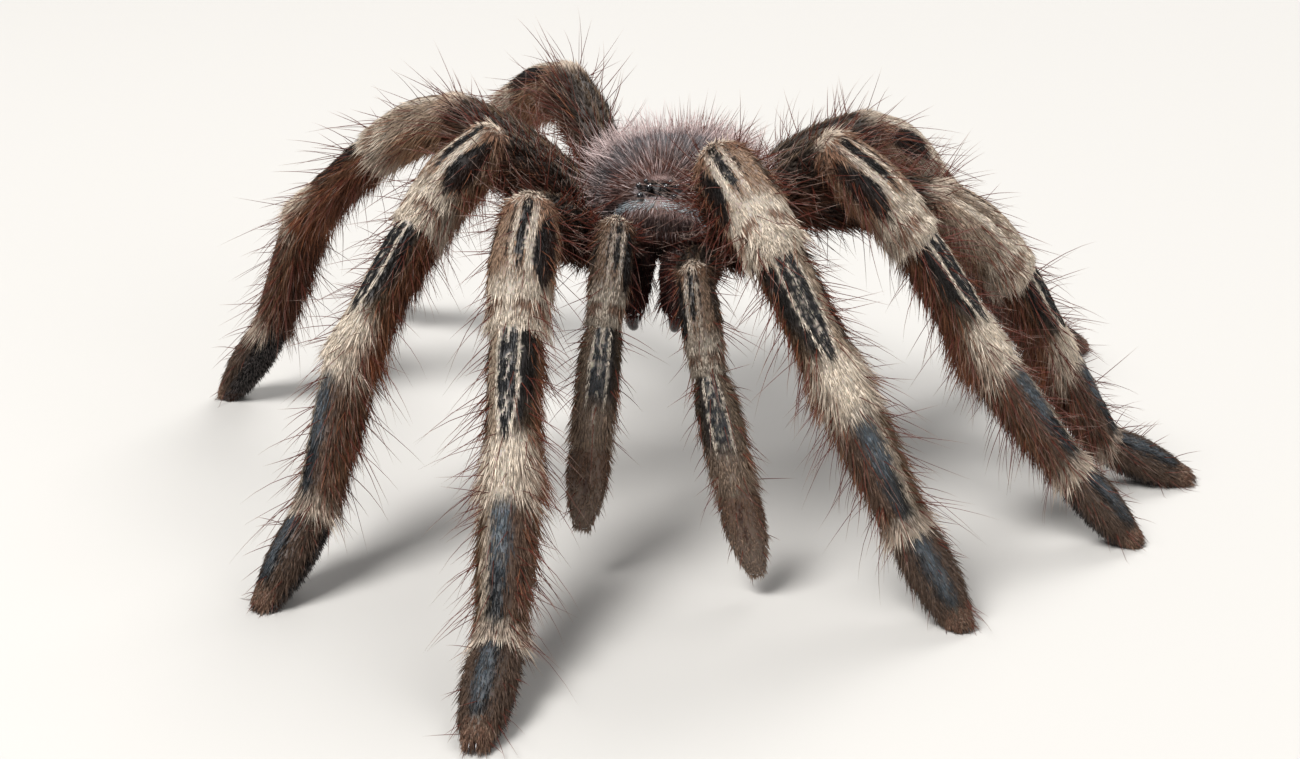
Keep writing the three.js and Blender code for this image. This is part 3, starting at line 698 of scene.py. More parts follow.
class Coat:
    """Collects the strands of one piece of the coat and makes them one mesh."""

    SAG = 0.35
    TAPER = 0.6
    PATCH_RADIUS = 0.0015
    PATCH_TAPER = 0.85

    def __init__(self, name, seed):
        self.name = name
        self.random = np.random.default_rng(seed)
        self.batches = []

    def grow(self, root, normal, lie, length, width, lift, curl, chart, shares, steps=2, bristle=0.0):
        """Adds tapered three-sided strands that leave the skin by lift degrees and follow the lie."""
        count = len(root)
        if not count:
            return
        measures = (length, width, lift, curl)
        length, width, lift, curl = (np.broadcast_to(a, (count,)).astype(float) for a in measures)
        lie = unit(lie - normal * np.sum(lie * normal, -1, keepdims=True))
        rise = np.radians(lift)[:, None]
        ahead = lie * np.cos(rise) + normal * np.sin(rise)
        sag = (lie - normal * self.SAG) * (curl * length)[:, None]
        across = unit(np.cross(ahead, normal + 0.01))
        over = np.cross(ahead, across)
        spin = self.random.uniform(0, TAU, count)
        tone = self.random.uniform(0, 1, count)
        thirds = np.arange(3) * TAU / 3
        turns = spin[:, None] + thirds
        offset = np.cos(turns)[..., None] * across[:, None] + np.sin(turns)[..., None] * over[:, None]
        ray = np.stack([np.cos(thirds), np.sin(thirds)], -1) * self.PATCH_RADIUS
        rings, tags, patches = [], [], []
        for s in np.linspace(0, 1, steps + 1):
            # The last ring is the strand's point.
            corners = 3 if s < 1 else 1
            centre = root + ahead * (length * s)[:, None] + sag * s * s
            thick = width / 2 * (1 - s) ** self.TAPER
            rings.append((centre[:, None] + offset * thick[:, None, None])[:, :corners])
            tag = np.stack([tone, np.full(count, s), np.full(count, bristle), np.ones(count)], -1)
            tags.append(np.repeat(tag[:, None], corners, 1))
            shrunk = ray * (1 - self.PATCH_TAPER * s) * (s < 1)
            patches.append((chart[:, None] + shrunk)[:, :corners])
        points = np.concatenate(rings, 1)
        points[..., 2] = np.maximum(points[..., 2], FLOOR_CLEARANCE)
        tags, patches = np.concatenate(tags, 1), np.concatenate(patches, 1)
        self.batches.append((points, tags, patches, shares, self.strand_faces(steps)))

    @staticmethod
    def strand_faces(steps):
        """The faces of one strand: its closed root, its sides and its point."""
        faces = [(2, 1, 0)]
        for a in range(3 * (steps - 1)):
            b = a + 1 if a % 3 < 2 else a - 2
            faces.append((a, b, b + 3, a + 3))
        last = 3 * (steps - 1)
        return faces + [(last + k, last + (k + 1) % 3, last + 3) for k in range(3)]

    def build(self, material):
        """The mesh of all strands, with its shares, tags and bake layout."""
        corners, sizes, offset = [], [], 0
        for points, _, _, _, faces in self.batches:
            strands, each = points.shape[:2]
            base = offset + np.arange(strands)[:, None] * each
            corners.append((base + np.array([c for face in faces for c in face])).ravel())
            sizes.append(np.tile([len(face) for face in faces], strands))
            offset += strands * each
        corner, size = np.concatenate(corners), np.concatenate(sizes)
        points = np.concatenate([batch[0].reshape(-1, 3) for batch in self.batches]) * MM
        tags = np.concatenate([batch[1].reshape(-1, 4) for batch in self.batches])
        patches = np.concatenate([batch[2].reshape(-1, 2) for batch in self.batches])
        shares = np.concatenate([np.repeat(batch[3], batch[0].shape[1], 0) for batch in self.batches])
        starts = np.concatenate([[0], np.cumsum(size)[:-1]])
        mesh = bpy.data.meshes.new(self.name)
        mesh.vertices.add(len(points))
        mesh.vertices.foreach_set("co", points.astype(np.float32).ravel())
        mesh.loops.add(len(corner))
        mesh.loops.foreach_set("vertex_index", corner.astype(np.int32))
        mesh.polygons.add(len(size))
        mesh.polygons.foreach_set("loop_start", starts.astype(np.int32))
        mesh.polygons.foreach_set("use_smooth", np.ones(len(size), bool))
        mesh.update(calc_edges=True)
        layout = mesh.uv_layers.new(name="OFBake")
        layout.data.foreach_set("uv", patches[corner].astype(np.float32).ravel())
        set_marks(mesh, "marks", shares)
        set_marks(mesh, "strand", tags)
        mesh.materials.append(material)
        piece = new_object(self.name, mesh)
        return piece


# Materials ---------------------------------------------------------------------------------

CHITIN_IOR = 1.55
# The distance between hair sockets in the cuticle, in millimetres.
SOCKET_SPACING = 0.345
# Which sockets of a colour mix hold its share, its two colours and its result.
MIX_SHARE, MIX_FIRST, MIX_SECOND, MIX_RESULT = 0, 6, 7, 2


def add_node(tree, kind, inputs=None, **settings):
    """Adds a node with its settings. An input given as a socket is linked, any other is set."""
    node = tree.nodes.new(kind)
    for key, value in settings.items():
        setattr(node, key, value)
    for key, value in (inputs or {}).items():
        socket = node.inputs[key]
        if isinstance(value, bpy.types.NodeSocket):
            tree.links.new(value, socket)
        else:
            socket.default_value = (*value, 1.0) if socket.type == "RGBA" else value
    return node


def start_material(name):
    """An empty node material."""
    material = bpy.data.materials.new(name)
    material.use_nodes = True
    material.node_tree.nodes.clear()
    return material, material.node_tree


def finish_material(tree, inputs):
    """Adds the surface and the output."""
    shader = add_node(tree, "ShaderNodeBsdfPrincipled", inputs)
    add_node(tree, "ShaderNodeOutputMaterial", {"Surface": shader.outputs["BSDF"]})


def layered(tree, colour, *layers):
    """A colour with others laid over it in turn, each given as its share, colour and way of mixing."""
    for share, over, way in layers:
        inputs = {MIX_SHARE: share, MIX_FIRST: colour, MIX_SECOND: over}
        node = add_node(tree, "ShaderNodeMix", inputs, data_type="RGBA", blend_type=way)
        colour = node.outputs[MIX_RESULT]
    return colour


def marked_colour(tree, dark, pale, tan, rust, slate):
    """The dark colour with the place's shares of the other four laid over it."""
    shares = add_node(tree, "ShaderNodeAttribute", attribute_name="marks").outputs
    split = add_node(tree, "ShaderNodeSeparateColor", {"Color": shares["Color"]}).outputs
    return layered(
        tree,
        dark,
        (split["Green"], tan, "MIX"),
        (split["Blue"], rust, "MIX"),
        (shares["Alpha"], slate, "MIX"),
        (split["Red"], pale, "MIX"),
    )


def grained(tree, spacing, detail, strength, depth):
    """Noise with its spacing and relief in millimetres: its sockets, and the normal it gives."""
    where = add_node(tree, "ShaderNodeTexCoord").outputs["Object"]
    inputs = {"Vector": where, "Scale": 1 / (spacing * MM), "Detail": detail}
    noise = add_node(tree, "ShaderNodeTexNoise", inputs).outputs
    inputs = {"Height": noise["Fac"], "Strength": strength, "Distance": depth * MM}
    return noise, add_node(tree, "ShaderNodeBump", inputs).outputs["Normal"]


def hair_material(name, colours, roughness=0.5):
    """Chitin hair: each strand is one colour, darker at its root, and glints along its side."""
    material, tree = start_material(name)
    strand = add_node(tree, "ShaderNodeAttribute", attribute_name="strand").outputs["Color"]
    tags = add_node(tree, "ShaderNodeSeparateColor", {"Color": strand}).outputs
    # Strand to strand the tone varies by about a third, and the root sits in the coat's shade.
    inputs = {"Value": tags["Red"], "To Min": 0.68, "To Max": 1.3}
    tone = add_node(tree, "ShaderNodeMapRange", inputs).outputs["Result"]
    inputs = {"Value": tags["Green"], "To Min": 0.68, "To Max": 1.2}
    shade = add_node(tree, "ShaderNodeMapRange", inputs).outputs["Result"]
    level = add_node(tree, "ShaderNodeMath", {0: tone, 1: shade}, operation="MULTIPLY").outputs["Value"]
    inputs = {"Red": level, "Green": level, "Blue": level}
    grey = add_node(tree, "ShaderNodeCombineColor", inputs).outputs["Color"]
    # Bristles are red-brown and end in worn pale tips.
    inputs = {"Value": tags["Green"], "From Min": 0.6, "From Max": 1.0}
    tip = add_node(tree, "ShaderNodeMapRange", inputs).outputs["Result"]
    bristle = layered(tree, linear("#5c2a1e"), (tip, linear("#b8a294"), "MIX"))
    colour = layered(
        tree, marked_colour(tree, *colours), (1.0, grey, "MULTIPLY"), (tags["Blue"], bristle, "MIX")
    )
    inputs = {"Base Color": colour, "Roughness": roughness, "Specular IOR Level": 0.26, "IOR": CHITIN_IOR}
    finish_material(tree, inputs)
    return material


def skin_material(name, colours):
    """Hard cuticle under the coat: the same markings, darker, with a fine pit at each hair socket."""
    material, tree = start_material(name)
    pits, normal = grained(tree, SOCKET_SPACING, 3.0, 0.6, 0.15)
    colour = layered(
        tree,
        marked_colour(tree, *colours),
        (0.4, linear("#1d1614"), "MIX"),
        (0.35, pits["Color"], "MULTIPLY"),
    )
    finish_material(tree, {"Base Color": colour, "Roughness": 0.6, "IOR": CHITIN_IOR, "Normal": normal})
    return material


def polished_material(name, colour, second, spacing, roughness, coat):
    """A polished natural surface whose tone clouds gently from one colour to another."""
    material, tree = start_material(name)
    cloud, normal = grained(tree, spacing, 4.0, 0.15, 0.02)
    tone = layered(tree, linear(colour), (cloud["Fac"], linear(second), "MIX"))
    inputs = {"Base Color": tone, "Roughness": roughness, "IOR": CHITIN_IOR, "Normal": normal}
    finish_material(tree, {**inputs, "Coat Weight": coat, "Coat Roughness": 0.04})
    return material


def leg_hair(c):
    """Velvet leg hair: black-brown with cream, tan, rust and blue-grey markings, and little shine."""
    return hair_material("velvet leg hair", (c.dark, c.cream, c.tan, c.rust, c.slate))


def carapace_hair(c):
    """Fine carapace hair: brown-pink, lilac-grey and pinkish white, with a silky glint."""
    return hair_material("silky carapace hair", (c.dark, c.rim, c.brow, linear("#6b3a2e"), c.lilac), 0.42)


def brow_hair(c):
    """The silvery hair of the band under the eyes: pale hair, painted brighter as a highlight where it
    catches the light.
    """
    shades = (c.dark, linear("#dfe6e8"), c.brow, linear("#6b3a2e"), linear("#84909a"))
    return hair_material("silver brow hair", shades, 0.4)


def body_hair(c):
    """Black velvet of the abdomen and the dull dark brown hair beneath."""
    shades = (c.dark, c.tan, linear("#3a2219"), linear("#5a2116"), c.slate)
    return hair_material("body hair", shades, 0.55)


# Sizes and colours that a user can change --------------------------------------------------

class TarantulaSizes(bpy.types.PropertyGroup):
    """The coat's measures and how many strands it has."""

    coat_depth: bpy.props.FloatProperty(
        name="Coat depth",
        description="How far the skin lies inside the solids",
        default=0.9 * MM,
        min=0.2 * MM,
        max=1.5 * MM,
        precision=5,
        unit="LENGTH",
    )
    voxel: bpy.props.FloatProperty(
        name="Skin grain",
        description="Edge length of the skin's mesh",
        default=0.6 * MM,
        min=0.3 * MM,
        max=2 * MM,
        precision=5,
        unit="LENGTH",
    )
    tuft_width: bpy.props.FloatProperty(
        name="Tuft width",
        description="Width of a short tuft at its root",
        default=0.18 * MM,
        min=0.05 * MM,
        max=1 * MM,
        precision=5,
        unit="LENGTH",
    )
    leg_tufts: bpy.props.IntProperty(
        name="Short tufts a leg",
        description="Flat tufts on each leg before those inside a bend are dropped",
        default=19200,
        min=100,
    )
    loose_tufts: bpy.props.IntProperty(
        name="Loose tufts a leg",
        description="Longer tufts over the short ones, before thinning",
        default=5600,
        min=0,
    )
    fringe: bpy.props.IntProperty(
        name="Fringe a leg",
        description="Fine rusty hairs along the flanks of each leg, before thinning",
        default=1300,
        min=0,
    )
    bristles: bpy.props.IntProperty(
        name="Bristles a leg",
        description="Long bristles on each leg, before thinning",
        default=860,
        min=0,
    )


class TarantulaColours(bpy.types.PropertyGroup):
    """The coat's colours."""

    dark: bpy.props.FloatVectorProperty(
        name="Black-brown",
        description="The coat's darkest hair",
        subtype="COLOR",
        default=linear("#14100e"),
    )
    cream: bpy.props.FloatVectorProperty(
        name="Cream",
        description="Stripes and bands of the legs",
        subtype="COLOR",
        default=linear("#f1e2cf"),
    )
    tan: bpy.props.FloatVectorProperty(
        name="Tan",
        description="Flanks of the legs",
        subtype="COLOR",
        default=linear("#96785b"),
    )
    rust: bpy.props.FloatVectorProperty(
        name="Rust",
        description="Fringes below the legs",
        subtype="COLOR",
        default=linear("#874e30"),
    )
    slate: bpy.props.FloatVectorProperty(
        name="Blue-grey",
        description="Patches on top of the lower legs",
        subtype="COLOR",
        default=linear("#68737c"),
    )
    lilac: bpy.props.FloatVectorProperty(
        name="Lilac-grey",
        description="Middle of the carapace",
        subtype="COLOR",
        default=linear("#7c7d81"),
    )
    brow: bpy.props.FloatVectorProperty(
        name="Brown-pink",
        description="Carapace round the eyes and at its sides",
        subtype="COLOR",
        default=linear("#5c4036"),
    )
    # The pinkish white of the rear rim's hair holds painted light from behind.
    rim: bpy.props.FloatVectorProperty(
        name="Pinkish white",
        description="Hair at the rear rim of the carapace",
        subtype="COLOR",
        default=linear("#dcc6c2"),
    )


# Skin --------------------------------------------------------------------------------------

# Rows of the rough shapes lie about this far apart, in millimetres.
ROW_SPACING = 0.6
# How deep the skin lies in the small pieces, in millimetres, and on the carapace, as a share of the coat.
CHELICERA_COAT = 0.5
STERNUM_COAT = 0.5
PEDICEL_COAT = 0.3
SPINNERET_COAT = (0.3, 0.25)
CARAPACE_COAT = 0.8
SKIN_DARK = {"leg": "#1a120e", "carapace": "#2a1d1a", "abdomen": "#0e0a0a", "face": "#1c0e0d"}


def limb_sources(depth):
    """The closed shapes of the legs and palps."""
    sources = []
    rounding = np.sin(np.linspace(-np.pi / 2 + 0.02, 0, 7))[:-1]
    for limb in LIMBS.values():
        for i, span in enumerate(limb.spans):
            first, last = limb.radii[i] - depth, limb.radii[i + 1] - depth
            middle = np.linspace(0, span, max(4, int(span / ROW_SPACING)))
            along = np.concatenate([first * rounding, middle, span - last * rounding[::-1]])
            points, faces, at, angle = grid_mesh(limb.skin(i, depth), along, around(40))
            sources.append((points, faces, limb_marks(limb, i, at, angle), LEG))
    return sources


def carapace_source(depth):
    """The closed shape of the carapace: its top, a low wall and a flat bottom."""
    top = carapace_shape(depth * CARAPACE_COAT)
    turns = around(96)
    points, faces, out, turn = grid_mesh(lambda o, a: top(a, o), np.linspace(0.002, 1, 40), turns)
    reach = carapace_rim(turn) * out
    shares = carapace_marks(np.sin(turn) * reach, np.cos(turn) * reach)
    reach = carapace_rim(turns) - depth
    below = on_body(np.sin(turns) * reach, np.cos(turns) * reach, CARAPACE_BOTTOM + 0.5)
    base, columns = len(points), len(turns)
    rim = base - columns
    faces = faces[:-1]
    for here in range(columns):
        beside = (here + 1) % columns
        faces.append([rim + here, rim + beside, base + beside, base + here])
    faces.append(list(range(base, base + columns)))
    return np.concatenate([points, below]), faces, np.concatenate([shares, shares[rim:]]), CARAPACE


def rod(start, end, first, last, kind, swell=0.0):
    """A rod of the body: its shape, length, end radii and the piece of skin that it is part of."""
    return rod_shape(start, end, first, last, swell), np.linalg.norm(end - start), first, last, kind


def body_rods():
    """Chelicerae, stalk, sternum and spinnerets, with their coat taken off."""
    first, last, swell = CHELICERA_RADII
    first, last = first - CHELICERA_COAT, last - CHELICERA_COAT
    rods = [rod(*chelicera_ends(side), first, last, FACE, swell) for side in SIDES.values()]
    near, far, up, radius = PEDICEL
    radius -= PEDICEL_COAT
    rods.append(rod(on_body(0, -near, up), on_body(0, -far, up), radius, radius, ABDOMEN))
    half_width, half_length, forward, top, bottom = STERNUM
    middle, thick = (top + bottom) / 2, (top - bottom) / 2 - STERNUM_COAT
    half_width, half_length = half_width - thick, half_length - thick
    for offset in (-1, 0, 1):
        start = on_body(offset * half_width, forward - half_length, middle)
        end = on_body(offset * half_width * 0.7, forward + half_length, middle)
        rods.append(rod(start, end, thick, thick, FACE))
    return rods + spinneret_rods()


def spinneret_rods():
    """The two spinnerets at the abdomen's end."""
    share, length, first, last, sideways, below, splay = SPINNERET
    first, last = first - SPINNERET_COAT[0], last - SPINNERET_COAT[1]
    splay = math.radians(splay)
    rods = []
    for side in SIDES.values():
        root = np.array([side * sideways, share * ABDOMEN_LENGTH, -below])
        tip = root + np.array([side * math.sin(splay), math.cos(splay), 0]) * length
        shape = rod_shape(on_abdomen(*root), on_abdomen(*tip), first, last)
        rods.append((shape, length, first, last, ABDOMEN))
    return rods


def skin_sources(depth):
    """Every closed shape that the skin is made of: points, faces, markings and material number."""
    sources = [*limb_sources(depth), carapace_source(depth)]
    points, faces, _, _ = grid_mesh(egg_shape(depth), np.linspace(0.003, 0.997, 56), around(64))
    sources.append((points, faces, marks(len(points)), ABDOMEN))
    rounding = np.sin(np.linspace(0, 1.55, 6))[1:]
    for shape, span, first, last, kind in body_rods():
        middle = np.linspace(0, span, max(4, int(span / ROW_SPACING)))
        along = np.concatenate([-first * rounding[::-1], middle, span + last * rounding])
        points, faces, _, _ = grid_mesh(shape, along, around(28))
        sources.append((points, faces, marks(len(points), rust=0.25), kind))
    return sources


def flesh_nodes():
    """The solids that the skin stands for."""
    names = []
    for name in POSE:
        if name.startswith("palp"):
            names += [f"{name}_femur", f"{name}_patella_to_tarsus"]
        else:
            names += [f"{name}_{part}" for part in ("femur", "patella", "tibia", "metatarsus", "tarsus")]
    return [*names, "carapace", "sternum", "abdomen", "chelicera_left", "chelicera_right"]


class TARANTULA_OT_skin(bpy.types.Operator):
    """Make one closed skin for the body, legs and palps"""

    bl_idname = "tarantula.skin"
    bl_label = "Skin"

    def execute(self, context):
        sizes, colours = context.scene.tarantula_sizes, context.scene.tarantula_colours
        sources = skin_sources(sizes.coat_depth / MM)
        mesh = self.joined(context, sources, sizes.voxel)
        self.paint(mesh, sources)
        for name, dark in SKIN_DARK.items():
            hues = (colours.cream, colours.tan, colours.rust, colours.slate)
            if name == "carapace":
                hues = (colours.rim, colours.brow, colours.rust, colours.lilac)
            mesh.materials.append(skin_material(f"{name} cuticle", (linear(dark), *hues)))
        skin = new_object("skin", mesh)
        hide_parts(*flesh_nodes())
        return {"FINISHED"}

    @staticmethod
    def joined(context, sources, grain):
        """One closed mesh round all the shapes, with the folds between them softened."""
        faces, offset = [], 0
        for points, own_faces, _, _ in sources:
            faces += [[corner + offset for corner in face] for face in own_faces]
            offset += len(points)
        points = np.concatenate([source[0] for source in sources]) * MM
        rough = bpy.data.meshes.new("skin_shapes")
        rough.from_pydata(points.tolist(), [], faces)
        holder = bpy.data.objects.new("skin_shapes", rough)
        context.scene.collection.objects.link(holder)
        remesh = holder.modifiers.new("join", "REMESH")
        remesh.mode = "VOXEL"
        remesh.voxel_size = grain
        smooth = holder.modifiers.new("soften", "SMOOTH")
        smooth.factor = 0.5
        smooth.iterations = 3
        graph = context.evaluated_depsgraph_get()
        mesh = bpy.data.meshes.new_from_object(holder.evaluated_get(graph))
        mesh.name = "skin"
        bpy.data.objects.remove(holder)
        bpy.data.meshes.remove(rough)
        return mesh


    @staticmethod
    def paint(mesh, sources):
        """Keeps the skin above the floor and gives each point the markings of the nearest shape."""
        count = len(mesh.vertices)
        at = np.empty(count * 3, np.float32)
        mesh.vertices.foreach_get("co", at)
        at = at.reshape(-1, 3)
        at[:, 2] = np.maximum(at[:, 2], FLOOR_CLEARANCE * MM)
        mesh.vertices.foreach_set("co", at.ravel())
        points = np.concatenate([s[0] for s in sources]) * MM
        shares = np.concatenate([s[2] for s in sources])
        number = np.concatenate([np.full(len(s[0]), s[3]) for s in sources])
        tree = KDTree(len(points))
        for k, p in enumerate(points.tolist()):
            tree.insert(p, k)
        tree.balance()
        nearest = np.array([tree.find(p)[1] for p in at.tolist()])
        set_marks(mesh, "marks", shares[nearest])
        owner = number[nearest]
        first = np.array([p.vertices[0] for p in mesh.polygons])
        mesh.polygons.foreach_set("material_index", owner[first].astype(np.int32))
        mesh.polygons.foreach_set("use_smooth", np.ones(len(mesh.polygons), bool))
        mesh.update()


# Coat of the legs and palps ----------------------------------------------------------------

# No root lies closer to the floor than this, in millimetres.
ROOT_CLEARANCE = 0.08
# Tufts are added this close to a joint, in millimetres, as a share of the ones already there.
JOINT_BAND = 0.8
JOINT_SHARE = 0.35
# How close the strands stand on each length, against a mean of about one.
TUFT_CROWD = {"coxa": 0.4, "femur": 0.75, "patella": 1.3, "tarsus": 1.15}
FRINGE_CROWD = {"femur": 0.6, "patella": 0.55, "metatarsus": 1.3}
BRISTLE_CROWD = {"coxa": 0.2, "femur": 1.5, "patella": 0.75, "tarsus": 0.5}
# The pad under a foot: roots tried, degrees off the top, and the share of the length where it starts.
SOLE_PAD = {"metatarsus": (2100, 135, 0.5), "tarsus": (4500, 118, 0.0)}
CLAW_TUFTS = 1500
# Bristles end at most this far above the solids' box, in millimetres.
BRISTLE_HEADROOM = 5.2
PALP_TUFTS, PALP_LOOSE_TUFTS, PALP_FRINGE, PALP_BRISTLES = 9000, 2200, 500, 240
LEG_SEED, PALP_SEED, CARAPACE_SEED, BROW_SEED, ABDOMEN_SEED, UNDERSIDE_SEED = 100, 200, 300, 301, 400, 500


def limb_roots(limb, i, count, random, depth):
    """Random roots on one length: along, angle, point and normal, those inside a bend left out."""
    span = limb.spans[i]
    first, last = limb.radii[i] - depth, limb.radii[i + 1] - depth
    along = random.uniform(-first * 0.98, span + last * 0.98, count)
    angle = random.uniform(-np.pi, np.pi, count)
    hub = limb.joints[i] + np.clip(along, 0, span)[:, None] * limb.frames[i][2]
    point, normal = surface(limb.skin(i, depth), along, angle, hub)
    keep = limb.kept(i, point, depth) & (point[:, 2] > ROOT_CLEARANCE)
    return picked(keep, along, angle, point, normal)


def tuft_roots(limb, i, count, random, depth):
    """Roots on one length, with more of them near its joints, where a bend spreads them out."""
    roots = limb_roots(limb, i, count, random, depth)
    more = limb_roots(limb, i, count, random, depth)
    near = (more[0] < JOINT_BAND) | (more[0] > limb.spans[i] - JOINT_BAND)
    near &= random.uniform(0, 1, len(near)) < JOINT_SHARE
    return [np.concatenate([each, extra[near]]) for each, extra in zip(roots, more)]


def tuft_form(part, t, off_top):
    """Length and lift of the longer tufts at a place of a length."""
    flank = ease(30, 85, off_top)
    below = ease(90, 140, off_top)
    if part == "patella":
        end = ease(0.72, 0.98, t) * ease(15, 60, off_top)
        return 1.8 + 0.9 * flank + 0.8 * below + 0.8 * end, 9 + 9 * flank + 12 * below + 12 * end
    if part in ("tibia", "palp_tibia"):
        end = ease(0.6, 0.95, t) * ease(10, 60, off_top)
        start = 1 - ease(0.02, 0.16, t)
        length = 1.7 + 1.3 * flank + 1.3 * below + 1.5 * end - 0.25 * start
        return length, 9 + 12 * flank + 12 * below + 12 * end - 4 * start
    if part == "metatarsus":
        start, end = 1 - ease(0.0, 0.2, t), ease(0.82, 0.96, t)
        length = 1.8 + 1.7 * flank + 0.4 * below + 0.9 * end + 0.5 * start * flank
        return length, 11 + 17 * flank + 4 * below + 17 * end + 8 * start * flank
    if part == "tarsus":
        return 1.4 + 0.9 * flank - 1.2 * below, 13 + 13 * flank + 40 * below
    return 2.3 + 0.9 * flank + 0.4 * below, 16 + 12 * flank + 8 * below


def limb_chart(limb, i, along, angle, low=0.0, high=1.0):
    """Where a root lies on the unrolled limb, kept inside the bake square."""
    across = (limb.starts[i] + along + 4) / (limb.starts[-1] + 8)
    turn = (angle + np.pi) / TAU
    v = low + (high - low) * (0.02 + 0.96 * turn)
    return np.stack([0.01 + 0.98 * np.clip(across, 0, 1), v], -1)


def tuft_marks(limb, i, along, angle, random):
    """The shares of each tuft, read a little beside it, so that edges between colours are ragged."""
    count = len(along)
    ragged = 0.14 if limb.parts[i] in ("metatarsus", "tarsus") else 0.016
    beside = along + random.normal(0, 0.25, count), angle + random.normal(0, ragged, count)
    shares = limb_marks(limb, i, *beside)
    # Dark panels have light flecks, and the blue-grey patches have duller hairs among the others.
    flecked = (shares[:, SLATE] > 0.05) & (shares[:, PALE] < 0.3) & (random.uniform(0, 1, count) < 0.09)
    shares[flecked, PALE] = random.uniform(0.02, 0.13, int(flecked.sum()))
    dull = (shares[:, SLATE] > 0.4) & (random.uniform(0, 1, count) < 0.42)
    shares[dull] = shares[dull] * (1, 1, 1, 0.35) + (0.04, 0.12, 0.04, 0)
    return shares


def past_end(limb, i, along, length, lift, depth):
    """Length, lift and lie near the far end, where tufts turn to the next length or close over the tip."""
    past = along - limb.spans[i]
    ahead = limb.frames[i][2]
    if i == len(limb.parts) - 1:
        cap = past / (limb.radii[i + 1] - depth)
        length = length * (1 - 0.55 * ease(-2.2, 0.0, past) * (1 - ease(0.3, 0.95, cap)))
        return length, lift + 50 * ease(0.1, 0.95, cap), ahead
    rounded = ease(-0.6, 1.2, past)
    ahead = ahead + (limb.frames[i + 1][2] - ahead) * rounded[:, None]
    return length * (1 - 0.4 * rounded), lift, ahead


def limb_tufts(coat, limb, total, depth, wide, loose, low=0.0, high=1.0):
    """One layer of a limb's coat: short and flat beneath, or longer and looser over it."""
    random = coat.random
    for i, part in enumerate(limb.parts):
        share = (limb.spans[i] + 5) / (limb.starts[-1] + 5 * len(limb.parts))
        count = int(total * share * TUFT_CROWD.get(part, 1.05))
        along, angle, point, normal = tuft_roots(limb, i, count, random, depth)
        if loose:
            chance = loose_share(part, along / limb.spans[i], np.abs(np.degrees(angle)))
            keep = random.uniform(0, 1, len(along)) < chance
            along, angle, point, normal = picked(keep, along, angle, point, normal)
        count, t, off_top = len(along), along / limb.spans[i], np.abs(np.degrees(angle))
        shares = tuft_marks(limb, i, along, angle, random)
        length, lift = tuft_form(part, t, off_top)
        length = length * random.uniform(0.75, 1.25, count) * (0.72 if limb.is_palp else 1.0)
        length = length * (1.05 if loose else 0.62)
        lift = lift + random.normal(0, 5 if loose else 3, count)
        length, lift, ahead = past_end(limb, i, along, length, lift, depth)
        hinge, back, _ = limb.frames[i]
        sideways = np.cos(angle)[:, None] * hinge - np.sin(angle)[:, None] * back
        away = 0.3 * np.sign(angle) * ease(20, 80, off_top)
        spread = 0.04 + 0.13 * ease(25, 80, off_top) + (0.06 if loose else 0.0)
        lie = ahead + sideways * (away + random.normal(0, 1, count) * spread)[:, None]
        width = wide * random.uniform(0.75, 1.2, count) * (0.8 if part == "tarsus" else 1.0)
        curl = random.uniform(0.0, 0.14, count)
        chart = limb_chart(limb, i, along, angle, low, high)
        coat.grow(point, normal, lie, length, width, lift, curl, chart, shares, 2 if loose else 1)


def loose_share(part, t, off_top):
    """How many of the looser tufts a place keeps: few where a stripe has to stay sharp."""
    flank = ease(35, 80, off_top)
    if part == "patella":
        return 0.12 + 0.88 * np.maximum(flank * 0.9, ease(0.66, 0.9, t))
    if part in ("tibia", "palp_tibia"):
        return 0.1 + 0.9 * np.maximum(flank, ease(0.58, 0.8, t))
    if part == "metatarsus":
        return 0.3 + 0.7 * np.maximum(flank, np.maximum(1 - ease(0.05, 0.2, t), ease(0.82, 0.95, t)))
    if part == "tarsus":
        return 0.3 + 0.7 * flank
    return 0.8 + 0 * t


def limb_fringe(coat, limb, total, depth, low=0.0, high=1.0):
    """Fine rusty hair, half as long as the bristles, along the flanks and under each length."""
    random = coat.random
    for i, part in enumerate(limb.parts):
        if part in ("coxa", "tarsus"):
            continue
        count = int(total * limb.spans[i] / limb.starts[-1] * FRINGE_CROWD.get(part, 1.2) * 2)
        along, angle, point, normal = limb_roots(limb, i, count, random, depth)
        t = along / limb.spans[i]
        chance = within(np.abs(np.degrees(angle)), 62, 160, 14) * (0.6 + 0.4 * ease(0.3, 0.8, t))
        keep = random.uniform(0, 1, len(along)) < chance
        along, angle, point, normal, t = picked(keep, along, angle, point, normal, t)
        count = len(along)
        length = random.uniform(2.2, 4.2, count) * (0.7 if limb.is_palp else 1.0)
        lie = limb.frames[i][2] + random.normal(0, 0.18, (count, 3))
        lift = random.normal(36, 9, count)
        light = random.uniform(0, 1, count)
        end = ease(0.55, 0.9, t)
        shares = marks(count, pale=0.3 * end * light, tan=0.3 + 0.5 * light, rust=0.8 - 0.35 * end * light)
        chart = limb_chart(limb, i, along, angle, low, high)
        coat.grow(point, normal, lie, length, 0.13, lift, random.uniform(0, 0.3, count), chart, shares)


